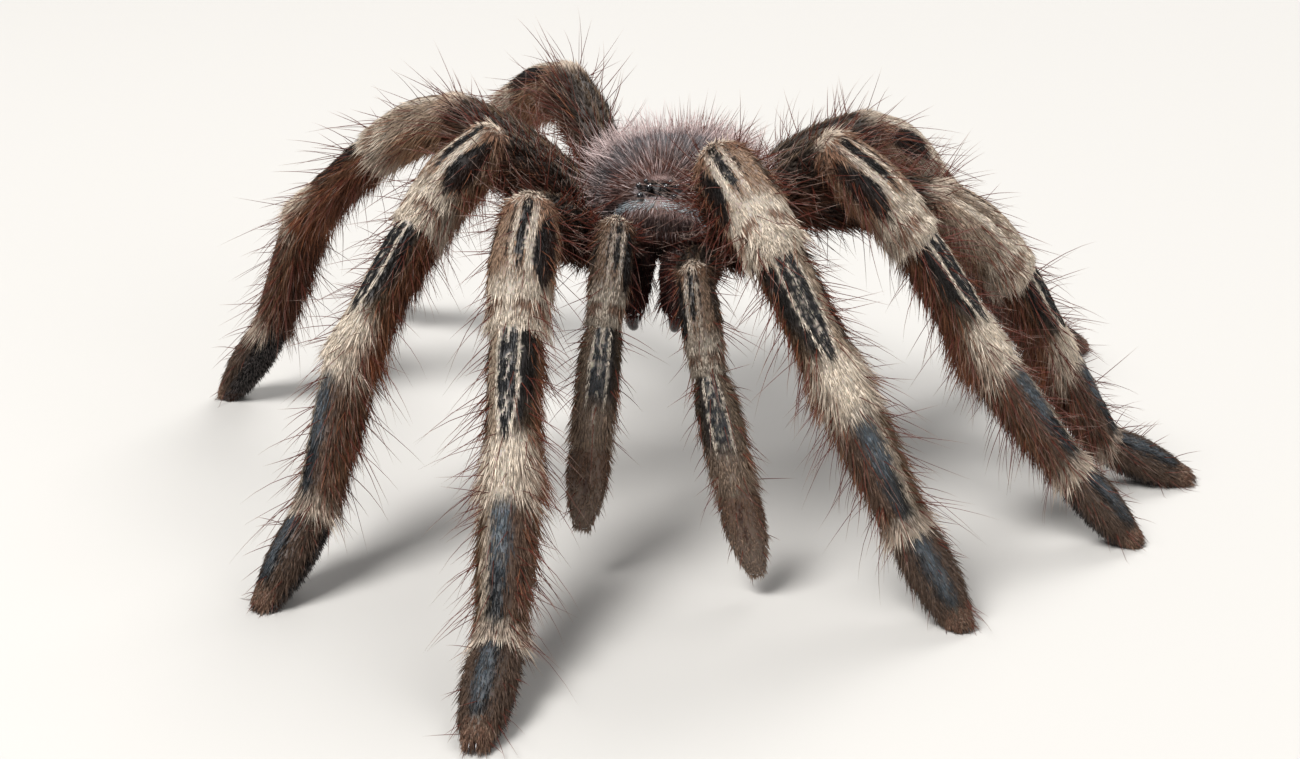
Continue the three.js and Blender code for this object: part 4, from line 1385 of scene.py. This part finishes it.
def limb_bristles(coat, limb, total, depth, low=0.0, high=1.0):
    """Long curved bristles that stand out, mostly from the flanks and below."""
    random = coat.random
    ceiling = CAD_BOX[1][2] / MM + BRISTLE_HEADROOM
    for i, part in enumerate(limb.parts):
        count = int(total * limb.spans[i] / limb.starts[-1] * BRISTLE_CROWD.get(part, 1.1) * 2)
        along, angle, point, normal = limb_roots(limb, i, count, random, depth)
        off_top = np.abs(np.degrees(angle))
        chance = 0.2 + 0.55 * within(off_top, 45, 150, 20)
        if part == "tarsus":
            chance = chance * (off_top < 110)
        keep = random.uniform(0, 1, len(along)) < chance
        along, angle, point, normal = picked(keep, along, angle, point, normal)
        count = len(along)
        length = random.gamma(8, 0.8, count).clip(2.6, 12) * (0.5 if part == "tarsus" else 1.0)
        length = length * (0.7 if limb.is_palp else 1.0)
        lift = random.normal(52, 14, count).clip(18, 82)
        length = np.minimum(length, (ceiling - point[:, 2]) / np.maximum(normal[:, 2], 0.3))
        lie = limb.frames[i][2] + random.normal(0, 0.25, (count, 3))
        width = random.uniform(0.11, 0.17, count)
        curl = random.uniform(-0.05, 0.32, count)
        chart = limb_chart(limb, i, along, angle, low, high)
        coat.grow(point, normal, lie, length, width, lift, curl, chart, marks(count), 4, 1.0)


def sole_pad(coat, limb, depth):
    """The dense short pad under the last two lengths, which reaches the floor."""
    random = coat.random
    for i, part in enumerate(limb.parts):
        if part not in SOLE_PAD:
            continue
        total, least, start = SOLE_PAD[part]
        along, angle, point, normal = limb_roots(limb, i, total, random, depth)
        keep = (np.abs(np.degrees(angle)) > least) & (along > limb.spans[i] * start)
        along, angle, point, normal = picked(keep, along, angle, point, normal)
        count = len(along)
        length = random.uniform(0.55, 0.95, count)
        lie = limb.frames[i][2] + random.normal(0, 0.3, (count, 3))
        shares = marks(count, tan=0.25, rust=0.1, slate=0.35)
        chart = limb_chart(limb, i, along, angle)
        coat.grow(point, normal, lie, length, 0.2, 62, 0.05, chart, shares, 1)


def claw_tuft(coat, limb, depth):
    """The brush of hair that hides the two claws."""
    random = coat.random
    i = len(limb.parts) - 1
    along, angle, point, normal = limb_roots(limb, i, CLAW_TUFTS, random, depth)
    keep = along > limb.spans[i] * 0.86
    along, angle, point, normal = picked(keep, along, angle, point, normal)
    count = len(along)
    lie = limb.frames[i][2] + random.normal(0, 0.25, (count, 3)) - UP * 0.3
    cap = ease(0.0, 1.0, (along - limb.spans[i]) / (limb.radii[-1] - depth))
    length = random.uniform(0.8, 1.3, count) * (0.7 + 0.7 * cap)
    lift = random.normal(18, 6, count) + 40 * cap
    shares = marks(count, tan=0.35, rust=0.35, slate=0.1)
    chart = limb_chart(limb, i, along, angle)
    coat.grow(point, normal, lie, length, 0.17, lift, 0.3, chart, shares)


class TARANTULA_OT_leg_coat(bpy.types.Operator):
    """Grow the striped coat and the bristles of the eight legs"""

    bl_idname = "tarantula.leg_coat"
    bl_label = "Leg coat"

    def execute(self, context):
        sizes = context.scene.tarantula_sizes
        depth, wide = sizes.coat_depth / MM, sizes.tuft_width / MM
        material = leg_hair(context.scene.tarantula_colours)
        for number, limb in enumerate(LIMBS.values()):
            if limb.is_palp:
                continue
            coat = Coat(f"coat_{limb.name}", LEG_SEED + number)
            limb_tufts(coat, limb, sizes.leg_tufts, depth, wide, False)
            limb_tufts(coat, limb, sizes.loose_tufts, depth, wide, True)
            limb_fringe(coat, limb, sizes.fringe, depth)
            limb_bristles(coat, limb, sizes.bristles, depth)
            sole_pad(coat, limb, depth)
            claw_tuft(coat, limb, depth)
            coat.build(material)
        return {"FINISHED"}


class TARANTULA_OT_palp_coat(bpy.types.Operator):
    """Grow the coat of the two palps"""

    bl_idname = "tarantula.palp_coat"
    bl_label = "Palp coat"

    def execute(self, context):
        sizes = context.scene.tarantula_sizes
        depth, wide = sizes.coat_depth / MM, sizes.tuft_width / MM
        coat = Coat("coat_palps", PALP_SEED)
        # Each palp has half of the bake square.
        for limb, half in ((LIMBS["palp_left"], (0.0, 0.5)), (LIMBS["palp_right"], (0.5, 1.0))):
            limb_tufts(coat, limb, PALP_TUFTS, depth, wide, False, *half)
            limb_tufts(coat, limb, PALP_LOOSE_TUFTS, depth, wide, True, *half)
            limb_fringe(coat, limb, PALP_FRINGE, depth, *half)
            limb_bristles(coat, limb, PALP_BRISTLES, depth, *half)
        coat.build(leg_hair(context.scene.tarantula_colours))
        return {"FINISHED"}


# Coat of the body --------------------------------------------------------------------------

# Roots tried on each part of the body.
COVER_HAIRS, DOME_HAIRS, REAR_CURLS, BROW_FRINGE = 26000, 4000, 7200, 1700
ABDOMEN_HAIRS, ABDOMEN_BRISTLES = 6500, 800
CHELICERA_HAIRS, STERNUM_HAIRS = 2000, 900
# How many wisps run out from the eyes, and in how many lengths, each of a tone of its own.
WISPS, WISP_LENGTHS, WISP_LENGTH = 130, 5, 4.5
# The side of the bake square that the carapace is laid out in, in millimetres.
CARAPACE_CHART = 30


def body_way(vector):
    """Directions measured on the body, in the part's frame."""
    return np.asarray(vector, float) * np.array([1, -1, 1]) @ BODY_TURN.T


def eye_places():
    """The centre and radius of each eye, in millimetres, by node name."""
    found = {}
    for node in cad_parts:
        if node.startswith("eye_"):
            low, high = (np.array(c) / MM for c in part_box(node))
            found[node] = ((low + high) / 2, float(np.max(high - low)) / 2)
    return found


def clear_of_eyes(point, margin):
    """Which points are not on an eye."""
    keep = np.ones(len(point), bool)
    for centre, radius in eye_places().values():
        keep &= np.linalg.norm(point - centre, axis=1) > radius + margin
    return keep


def carapace_roots(count, random, depth):
    """Random roots on the carapace's top: sideways, forward, out, point and normal."""
    turn = random.uniform(-np.pi, np.pi, count)
    out = np.sqrt(random.uniform(0.0, 0.998, count))
    longest = CARAPACE_HALF[0][1]
    keep = random.uniform(0, 1, count) < carapace_rim(turn) ** 2 / longest**2
    turn, out = picked(keep, turn, out)
    point, normal = surface(carapace_shape(depth * CARAPACE_COAT), turn, out, on_body(0, 0, 0))
    reach = carapace_rim(turn) * out
    return np.sin(turn) * reach, np.cos(turn) * reach, out, point, normal


def carapace_chart(sideways, forward):
    """The carapace seen flat, with its rim at the edge of the bake square."""
    return 0.5 + np.stack([sideways, forward], -1) / CARAPACE_CHART


def wisp_tones(random, turn, from_eyes):
    """How light each strand is, in wisps that run out from the eyes."""
    tones = random.uniform(0, 1, (WISPS, WISP_LENGTHS))
    row = ((turn + np.pi) / TAU * WISPS + random.normal(0, 0.3, len(turn))).astype(int) % WISPS
    column = from_eyes / WISP_LENGTH + random.normal(0, 0.25, len(turn))
    return tones[row, np.clip(column, 0, WISP_LENGTHS - 1).astype(int)]


def from_eyes_way(sideways, forward):
    """Directions that run out from behind the eyes, level with the body."""
    return unit(np.stack([sideways, forward - EYE_MOUND[0] - 0.6, np.zeros(len(sideways))], -1))


class TARANTULA_OT_carapace_coat(bpy.types.Operator):
    """Grow the silky coat of the carapace, its brow and the curls of its rear rim"""

    bl_idname = "tarantula.carapace_coat"
    bl_label = "Carapace coat"

    def execute(self, context):
        depth = context.scene.tarantula_sizes.coat_depth / MM
        colours = context.scene.tarantula_colours
        coat = Coat("coat_carapace", CARAPACE_SEED)
        band = Coat("coat_brow", BROW_SEED)
        self.cover(coat, band, depth)
        self.loose_hair(coat, depth)
        self.rear_curls(coat, depth)
        self.brow_fringe(coat)
        coat.build(carapace_hair(colours))
        band.build(brow_hair(colours))
        return {"FINISHED"}

    def cover(self, coat, band, depth):
        """Short hair that lies back and outward from the eyes, and the light band's hair under them."""
        random = coat.random
        sideways, forward, _, point, normal = carapace_roots(COVER_HAIRS, random, depth)
        from_eyes = np.hypot(sideways, forward - EYE_MOUND[0])
        thinned = random.uniform(0, 1, len(point)) < 0.45 + ease(1.4, 3.5, from_eyes)
        keep = clear_of_eyes(point, 0.16) & thinned
        sideways, forward, point, normal, from_eyes = picked(
            keep, sideways, forward, point, normal, from_eyes
        )
        count = len(point)
        brow = brow_share(sideways, forward)
        hang = apron_share(sideways, forward) * (1 - brow)
        far = ease(2, 9, from_eyes)
        lie = body_way(self.cover_way(sideways, forward) + random.normal(0, 0.13, (count, 3)))
        length = (0.7 + 1.5 * far * (1 - brow) + 1.1 * hang) * random.uniform(0.8, 1.25, count)
        lift = 12 + 6 * far + 14 * hang + random.normal(0, 4, count)
        width = 0.12 + 0.04 * far
        # A hair that would cross an eye is cut short.
        tip = point + unit(lie) * length[:, None]
        hides = ~(clear_of_eyes(tip, 0.12) & clear_of_eyes((point + tip) / 2, 0.12))
        length = np.where(hides, 0.25, length)
        shares = self.cover_marks(random, sideways, forward, from_eyes)
        chart = carapace_chart(sideways, forward)
        in_band = brow > 0.4
        for each, part in ((coat, ~in_band), (band, in_band)):
            hair = picked(part, point, normal, lie, length, width, lift)
            each.grow(*hair, 0.1, chart[part], shares[part], 1)

    @staticmethod
    def cover_way(sideways, forward):
        """Which way the short hair lies: out from the eyes, aside in the band and down the front."""
        brow = brow_share(sideways, forward)[:, None]
        hang = apron_share(sideways, forward)[:, None] * (1 - brow)
        even = np.ones(len(sideways))
        aside = np.stack([np.tanh(sideways / 1.5), 0.1 * even, -0.4 * even], -1)
        down = np.stack([0.06 * sideways, 0.25 * even, -even], -1)
        return from_eyes_way(sideways, forward) * (1 - brow - hang) + aside * brow + down * hang

    @staticmethod
    def cover_marks(random, sideways, forward, from_eyes):
        """The shares of the short hair, with light and dark wisps over the dome."""
        count = len(sideways)
        beside = sideways + random.normal(0, 0.1, count), forward + random.normal(0, 0.06, count)
        shares = carapace_marks(*beside)
        brow = brow_share(sideways, forward)
        hang = apron_share(sideways, forward) * (1 - brow)
        light = wisp_tones(random, np.arctan2(sideways, forward - EYE_MOUND[0] + 0.6), from_eyes)
        dome = (1 - brow) * (1 - hang)
        silver = 0.36 * ease(0.55, 1.0, light) * dome * ease(1.5, 4, from_eyes)
        shares[:, PALE] = np.maximum(shares[:, PALE], silver)
        dull = (1 - ease(0.15, 0.5, light)) * dome
        shares[:, TAN] *= 1 - 0.55 * dull
        shares[:, SLATE] *= 1 - 0.6 * dull
        shares[:, PALE] = np.maximum(shares[:, PALE], hang * random.uniform(-0.5, 0.45, count))
        shares[:, [TAN, RUST]] *= (1 - hang * random.uniform(0, 0.8, count))[:, None]
        return shares

    @staticmethod
    def loose_hair(coat, depth):
        """Longer hair over the dome, which stands a little and parts it into streaks."""
        random = coat.random
        sideways, forward, _, point, normal = carapace_roots(DOME_HAIRS, random, depth)
        behind_eyes = np.hypot(sideways * 0.75, forward - EYE_MOUND[0]) > 2.6
        keep = behind_eyes & (ahead_of_eyes(sideways, forward) < 10.8)
        sideways, forward, point, normal = picked(keep, sideways, forward, point, normal)
        count = len(forward)
        lie = body_way(from_eyes_way(sideways, forward) + random.normal(0, 0.14, (count, 3)))
        from_eyes = np.hypot(sideways, forward - EYE_MOUND[0])
        length = random.uniform(1.8, 3.6, count) * ease(0, 6, from_eyes)
        shares = carapace_marks(sideways, forward)
        light = random.uniform(0, 1, count)
        shares[:, PALE] = np.maximum(shares[:, PALE], 0.6 * ease(0.35, 1.0, light))
        shares[:, RUST] = np.maximum(shares[:, RUST], 0.6 * (light < 0.35))
        shares[:, SLATE] *= light
        lift = random.normal(28, 9, count)
        width = random.uniform(0.1, 0.15, count)
        chart = carapace_chart(sideways, forward)
        coat.grow(point, normal, lie, length, width, lift, 0.2, chart, shares, 3)

    @staticmethod
    def rear_curls(coat, depth):
        """Upstanding pinkish hair along the rear and side rim, painted pale as light from behind."""
        random = coat.random
        sideways, forward, out, point, normal = carapace_roots(REAR_CURLS, random, depth)
        rear = ease(0.35, 0.85, out) * (1 - ease(-7, 3, forward)) * 0.6
        side = ease(0.75, 0.95, out) * (1 - ease(4, 9, forward)) * 0.12
        keep = random.uniform(0, 1, len(out)) < np.maximum(rear, side)
        sideways, forward, point, normal = picked(keep, sideways, forward, point, normal)
        count = len(sideways)
        outward = unit(np.stack([sideways, forward - 2, np.full(count, 3.0)], -1))
        lie = body_way(outward + random.normal(0, 0.3, (count, 3)))
        length = random.gamma(10, 0.42, count).clip(1.6, 7)
        lift = random.normal(60, 14, count).clip(20, 88)
        # A random share of pinkish white on each curl: painted light from behind on the rim's hair.
        shares = marks(count, pale=random.uniform(0.35, 1, count), tan=0.4, rust=0.3)
        curl = random.uniform(-0.35, 0.4, count)
        width = random.uniform(0.11, 0.17, count)
        chart = carapace_chart(sideways, forward)
        coat.grow(point, normal, lie, length, width, lift, curl, chart, shares, 4)

    @staticmethod
    def brow_fringe(coat):
        """Red-brown hair that hangs from the front edge over the chelicerae, darker the lower its root:
        painted shade under the edge.
        """
        random, count = coat.random, BROW_FRINGE
        turn = random.uniform(-0.62, 0.62, count)
        drop = random.uniform(0, 1, count)
        reach = carapace_rim(turn) - 0.4
        point = on_body(np.sin(turn) * reach, np.cos(turn) * reach, CARAPACE_EDGE + 0.5 - drop * 1.6)
        normal = body_way(np.stack([np.sin(turn), np.cos(turn), np.zeros(count)], -1))
        lie = body_way(np.stack([0.35 * np.sin(turn), np.full(count, 0.1), -np.ones(count)], -1))
        lie = lie + random.normal(0, 0.18, (count, 3))
        length = random.uniform(1.1, 2.3, count)
        # The lower a hair is rooted, the less tan and rust it has: painted shade under the front edge.
        shares = marks(count, tan=0.45 * (1 - drop), rust=0.5 * (1 - drop))
        lift = random.normal(30, 9, count)
        chart = np.stack([0.5 + turn / 2, 0.02 + 0.05 * drop], -1)
        coat.grow(point, normal, lie, length, 0.15, lift, 0.12, chart, shares)


class TARANTULA_OT_abdomen_coat(bpy.types.Operator):
    """Grow the black velvet and the reddish bristles of the abdomen"""

    bl_idname = "tarantula.abdomen_coat"
    bl_label = "Abdomen coat"

    def execute(self, context):
        depth = context.scene.tarantula_sizes.coat_depth / MM
        coat = Coat("coat_abdomen", ABDOMEN_SEED)
        self.velvet(coat, depth)
        self.bristles(coat, depth)
        coat.build(body_hair(context.scene.tarantula_colours))
        return {"FINISHED"}

    @staticmethod
    def roots(random, count, depth):
        """Random roots on the abdomen, with a lie toward the spinnerets and their bake places."""
        t = np.arccos(1 - 2 * random.uniform(0.005, 0.995, count)) / np.pi
        angle = random.uniform(-np.pi, np.pi, count)
        shape = egg_shape(depth)
        hub = (shape(t, angle) + shape(t, angle + np.pi)) / 2
        point, normal = surface(shape, t, angle, hub)
        lie = shape(np.minimum(t + 0.02, 1), angle) - point + random.normal(0, 0.12, (count, 3))
        chart = np.stack([0.01 + 0.98 * t, 0.01 + 0.98 * (angle + np.pi) / TAU], -1)
        return point, normal, lie, chart

    def velvet(self, coat, depth):
        """The short black hair."""
        random, count = coat.random, ABDOMEN_HAIRS
        point, normal, lie, chart = self.roots(random, count, depth)
        length = random.uniform(2.0, 3.2, count)
        shares = marks(count, tan=0.35 * random.uniform(0, 1, count), rust=0.2 * random.uniform(0, 1, count))
        lift = random.normal(20, 5, count)
        coat.grow(point, normal, lie, length, 0.27, lift, 0.08, chart, shares)

    def bristles(self, coat, depth):
        """The long reddish bristles over it."""
        random, count = coat.random, ABDOMEN_BRISTLES
        point, normal, lie, chart = self.roots(random, count, depth)
        length = random.gamma(9, 0.6, count).clip(2.5, 9)
        lift, curl = random.normal(42, 12, count), random.uniform(0, 0.3, count)
        coat.grow(point, normal, lie, length, 0.14, lift, curl, chart, marks(count), 4, 1.0)


class TARANTULA_OT_face_coat(bpy.types.Operator):
    """Grow the short hair of the chelicerae and the sternum"""

    bl_idname = "tarantula.face_coat"
    bl_label = "Face and underside coat"

    def execute(self, context):
        coat = Coat("coat_underside", UNDERSIDE_SEED)
        for number, each in enumerate(body_rods()):
            if each[-1] == FACE:
                self.cover(coat, each, number)
        coat.build(body_hair(context.scene.tarantula_colours))
        return {"FINISHED"}

    @staticmethod
    def cover(coat, each, number):
        """Hair that lies along a rod, smallest on the chelicerae, which are the first two."""
        shape, span, first, last, _ = each
        random = coat.random
        is_chelicera = number < 2
        total = CHELICERA_HAIRS if is_chelicera else STERNUM_HAIRS
        along = random.uniform(-first * 0.9, span + last * 0.95, total)
        angle = random.uniform(-np.pi, np.pi, total)
        inner = np.clip(along, 0, span)
        hub = (shape(inner, angle) + shape(inner, angle + np.pi)) / 2
        point, normal = surface(shape, along, angle, hub)
        ahead = unit(hub[np.argmax(along)] - hub[np.argmin(along)])
        lie = ahead + random.normal(0, 0.15, (total, 3))
        length = random.uniform(0.9, 1.6, total) if is_chelicera else random.uniform(1.2, 2.0, total)
        across = 0.02 + 0.96 * (along + first) / (span + first + last)
        up = number / 8 + 0.11 * (angle + np.pi) / TAU
        chart = np.stack([across, up], -1).clip(0.005, 0.995)
        rust = random.uniform(0.05, 0.35, total)
        shares = marks(total, tan=0.12 * random.uniform(0, 1, total), rust=rust)
        coat.grow(point, normal, lie, length, 0.16, random.normal(22, 6, total), 0.08, chart, shares)
        if is_chelicera:
            # A brush of longer rusty hair toward the fangs.
            keep = (along > span * 0.55) & (random.uniform(0, 1, total) < 0.16)
            point, normal, lie, chart = picked(keep, point, normal, lie, chart)
            count = len(point)
            length = random.uniform(2.0, 3.8, count)
            shares = marks(count, rust=0.9, tan=0.2)
            coat.grow(point, normal, lie, length, 0.13, random.normal(34, 9, count), 0.2, chart, shares, 3)


# Hard parts --------------------------------------------------------------------------------

# A fang bends at its knuckle, which lies this far inward and back from the root, in millimetres, and
# down by this share of the fang's drop. Its point lies inward and down by these.
FANG_KNUCKLE = (0.2, -0.6, 1.0)
FANG_POINT_IN, FANG_POINT_DOWN = 0.6, 0.6
# The claws, in millimetres: how far each stands from the foot's middle, its length and radius, and how
# low it may reach.
CLAW_ASIDE, CLAW_LENGTH, CLAW_RADIUS, CLAW_FLOOR = 0.45, 1.9, 0.26, 0.35


def smooth_mesh(name, points, faces):
    """A smooth mesh from points in millimetres."""
    mesh = bpy.data.meshes.new(name)
    mesh.from_pydata((np.asarray(points) * MM).tolist(), [], faces)
    mesh.polygons.foreach_set("use_smooth", np.ones(len(mesh.polygons), bool))
    mesh.update()
    return mesh


def ball(centre, radius, rows=20, columns=28):
    """A round closed form."""

    def shape(u, v):
        ring = np.sin(u)
        return centre + radius * np.stack([ring * np.cos(v), ring * np.sin(v), np.cos(u)], -1)

    us = np.linspace(0.01, np.pi - 0.01, rows)
    points, faces, _, _ = grid_mesh(shape, us, np.linspace(0, TAU, columns, endpoint=False))
    return points, faces


def horn(path, radii, sides=14):
    """A tapered closed form along a path, for fangs and claws."""
    ahead = unit(np.gradient(path, axis=0))
    across = unit(np.cross(ahead, UP + np.array([0.3, 0.1, 0])))
    over = np.cross(ahead, across)
    turns = np.linspace(0, TAU, sides, endpoint=False)[None, :, None]
    ring = np.cos(turns) * across[:, None] + np.sin(turns) * over[:, None]
    points = (path[:, None] + ring * radii[:, None, None]).reshape(-1, 3)
    return points, tube_faces(len(path), sides)


class TARANTULA_OT_eyes(bpy.types.Operator):
    """Make the eight lenses"""

    bl_idname = "tarantula.eyes"
    bl_label = "Eyes"

    def execute(self, context):
        # Cornea over dark pigment: near black, with a hard wet highlight.
        dark = polished_material("dark cornea", "#050507", "#10131c", 0.5, 0.08, 1.0)
        # The side and rear lenses have a pale layer behind them.
        pale = polished_material("pearly cornea", "#2b2d31", "#121317", 0.6, 0.1, 1.0)
        for node, (centre, radius) in eye_places().items():
            points, faces = ball(centre, radius)
            mesh = smooth_mesh(f"lens_{node}", points, faces)
            mesh.materials.append(dark if "anterior_median" in node else pale)
            lens = new_object(f"lens_{node}", mesh)
            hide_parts(node)
        return {"FINISHED"}


class TARANTULA_OT_fangs(bpy.types.Operator):
    """Make the two folded fangs"""

    bl_idname = "tarantula.fangs"
    bl_label = "Fangs"

    def execute(self, context):
        # Sclerotised cuticle, polished by use: black-brown, clouded with a red cast.
        material = polished_material("polished fang horn", "#0d0807", "#2c120c", 2.5, 0.22, 0.5)
        first, last, length, drop = FANG
        for side_name, side in SIDES.items():
            low, high = (np.array(c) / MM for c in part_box(f"fang_{side_name}"))
            root = chelicera_ends(side)[1] + np.array([0, 0.4, -CHELICERA_RADII[1] - GAP])
            inward, back, down = FANG_KNUCKLE
            knuckle = root + np.array([-side * inward, back, -drop * down])
            point = root + np.array([-side * FANG_POINT_IN, length, -drop * FANG_POINT_DOWN])
            t = np.linspace(0, 1, 22)[:, None]
            path = (1 - t) ** 2 * root + 2 * t * (1 - t) * knuckle + t**2 * point
            # The fang stays inside the box of its solid.
            path = np.clip(path, low + last, high - last)
            points, faces = horn(path, first + (last * 0.3 - first) * t[:, 0] ** 1.3)
            mesh = smooth_mesh(f"horn_{side_name}", points, faces)
            mesh.materials.append(material)
            fang = new_object(f"horn_{side_name}", mesh)
            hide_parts(f"fang_{side_name}")
        return {"FINISHED"}


class TARANTULA_OT_claws(bpy.types.Operator):
    """Make the two small claws of each foot"""

    bl_idname = "tarantula.claws"
    bl_label = "Claws"

    def execute(self, context):
        # Dark horn, as the fangs, too small to show more than a glint.
        material = polished_material("dark claw horn", "#0b0706", "#24120d", 1.0, 0.25, 0.4)
        t = np.linspace(0, 1, 9)[:, None]
        for limb in LIMBS.values():
            if limb.is_palp:
                continue
            hinge, back, ahead = limb.frames[-1]
            tip = limb.joints[-1] + back * 0.55 + ahead * (limb.radii[-1] - 1.3)
            points, faces = [], []
            for sideways in (-CLAW_ASIDE, CLAW_ASIDE):
                path = tip + hinge * sideways + ahead * CLAW_LENGTH * t + back * (0.35 * t - 0.8 * t * t)
                path[:, 2] = np.maximum(path[:, 2], CLAW_FLOOR)
                own_points, own_faces = horn(path, CLAW_RADIUS * (1 - t[:, 0]) ** 0.8 + 0.02, 8)
                faces += [[corner + len(points) for corner in face] for face in own_faces]
                points += own_points.tolist()
            mesh = smooth_mesh(f"claws_{limb.name}", points, faces)
            mesh.materials.append(material)
            new_object(f"claws_{limb.name}", mesh)
        return {"FINISHED"}


# Stage -------------------------------------------------------------------------------------

# Each soft light: its place and side in millimetres, and its power in watts.
LIGHTS = {
    "key": ((-620, -760, 1500), 700, 42.0),
    "fill": ((1300, -900, 700), 1200, 9.0),
    "rim": ((350, 1150, 1250), 800, 18.0),
}
LIGHT_TARGET = np.array([0.0, 0.0, 20.0])
ROOM_LIGHT, ROOM_STRENGTH = "#eff1f6", 0.26
FLOOR_COLOUR, FLOOR_HALF = "#c4c1bc", 2500.0


def area_light(name, place, size, power):
    """A square soft light that looks at the animal."""
    light = bpy.data.lights.new(name, "AREA")
    light.shape = "SQUARE"
    light.size = size * MM
    light.energy = power
    lamp = bpy.data.objects.new(name, light)
    back = unit(np.array(place, float) - LIGHT_TARGET)
    across = unit(np.cross(UP, back))
    turn = np.stack([across, np.cross(back, across), back], 1)
    lamp.matrix_world = Matrix.Translation(np.array(place) * MM) @ Matrix(turn.tolist()).to_4x4()
    bpy.context.scene.collection.objects.link(lamp)


class TARANTULA_OT_stage(bpy.types.Operator):
    """Make the camera, the pale floor and the soft lights"""

    bl_idname = "tarantula.stage"
    bl_label = "Stage"

    def execute(self, context):
        self.camera(context)
        self.floor()
        for name, (place, size, power) in LIGHTS.items():
            area_light(name, place, size, power)
        world = bpy.data.worlds.new("soft studio")
        world.use_nodes = True
        background = world.node_tree.nodes["Background"]
        background.inputs["Color"].default_value = (*linear(ROOM_LIGHT), 1)
        background.inputs["Strength"].default_value = ROOM_STRENGTH
        context.scene.world = world
        context.scene.view_settings.view_transform = "Standard"
        return {"FINISHED"}


    @staticmethod
    def camera(context):
        """The camera at its place, turned by azimuth, elevation and roll."""
        a, e, r = (math.radians(v) for v in (CAMERA_AZIMUTH, CAMERA_ELEVATION, CAMERA_ROLL))
        away = np.array([-math.sin(a) * math.cos(e), math.cos(a) * math.cos(e), -math.sin(e)])
        right = np.array([math.cos(a), math.sin(a), 0.0])
        over = np.cross(right, away)
        across = math.cos(r) * right + math.sin(r) * over
        upward = -math.sin(r) * right + math.cos(r) * over
        turn = Matrix(np.stack([across, upward, -away], 1).tolist()).to_4x4()
        place = np.array(CAMERA_TARGET) - away * CAMERA_DISTANCE
        data = bpy.data.cameras.new("camera")
        data.lens = CAMERA_LENS
        data.sensor_width = CAMERA_SENSOR
        data.clip_start = 0.01
        data.clip_end = 20
        camera = bpy.data.objects.new("camera", data)
        camera.matrix_world = Matrix.Translation(place * MM) @ turn
        context.scene.collection.objects.link(camera)
        context.scene.camera = camera

    @staticmethod
    def floor():
        """A wide pale floor of matt paper, which scatters the light and has no shine."""
        half = FLOOR_HALF
        points = [(-half, -half, 0), (half, -half, 0), (half, half, 0), (-half, half, 0)]
        mesh = bpy.data.meshes.new("floor")
        mesh.from_pydata((np.array(points) * MM).tolist(), [], [(0, 1, 2, 3)])
        material, tree = start_material("matt paper")
        finish_material(tree, {"Base Color": linear(FLOOR_COLOUR), "Roughness": 0.85})
        mesh.materials.append(material)
        floor = bpy.data.objects.new("floor", mesh)
        bpy.context.scene.collection.objects.link(floor)


# Panel and registration --------------------------------------------------------------------

OPERATORS = (
    TARANTULA_OT_stage,
    TARANTULA_OT_skin,
    TARANTULA_OT_leg_coat,
    TARANTULA_OT_palp_coat,
    TARANTULA_OT_carapace_coat,
    TARANTULA_OT_abdomen_coat,
    TARANTULA_OT_face_coat,
    TARANTULA_OT_eyes,
    TARANTULA_OT_fangs,
    TARANTULA_OT_claws,
)


class TARANTULA_PT_panel(bpy.types.Panel):
    """Sizes, colours and pieces of the tarantula"""

    bl_label = "Tarantula"
    bl_idname = "TARANTULA_PT_panel"
    bl_space_type = "VIEW_3D"
    bl_region_type = "UI"
    bl_category = "Tarantula"

    def draw(self, context):
        column = self.layout.column()
        for group in (context.scene.tarantula_sizes, context.scene.tarantula_colours):
            for name in group.__annotations__:
                column.prop(group, name)
        for operator in OPERATORS:
            column.operator(operator.bl_idname)


CLASSES = (TarantulaSizes, TarantulaColours, *OPERATORS, TARANTULA_PT_panel)


def register():
    """Adds the classes and the scene's settings."""
    for each in CLASSES:
        bpy.utils.register_class(each)
    bpy.types.Scene.tarantula_sizes = bpy.props.PointerProperty(type=TarantulaSizes)
    bpy.types.Scene.tarantula_colours = bpy.props.PointerProperty(type=TarantulaColours)


def unregister():
    """Takes them away again."""
    del bpy.types.Scene.tarantula_colours
    del bpy.types.Scene.tarantula_sizes
    for each in reversed(CLASSES):
        bpy.utils.unregister_class(each)


def main():
    register()
    for operator in OPERATORS:
        group, name = operator.bl_idname.split(".")
        getattr(getattr(bpy.ops, group), name)()


if __name__ == "__main__":
    main()
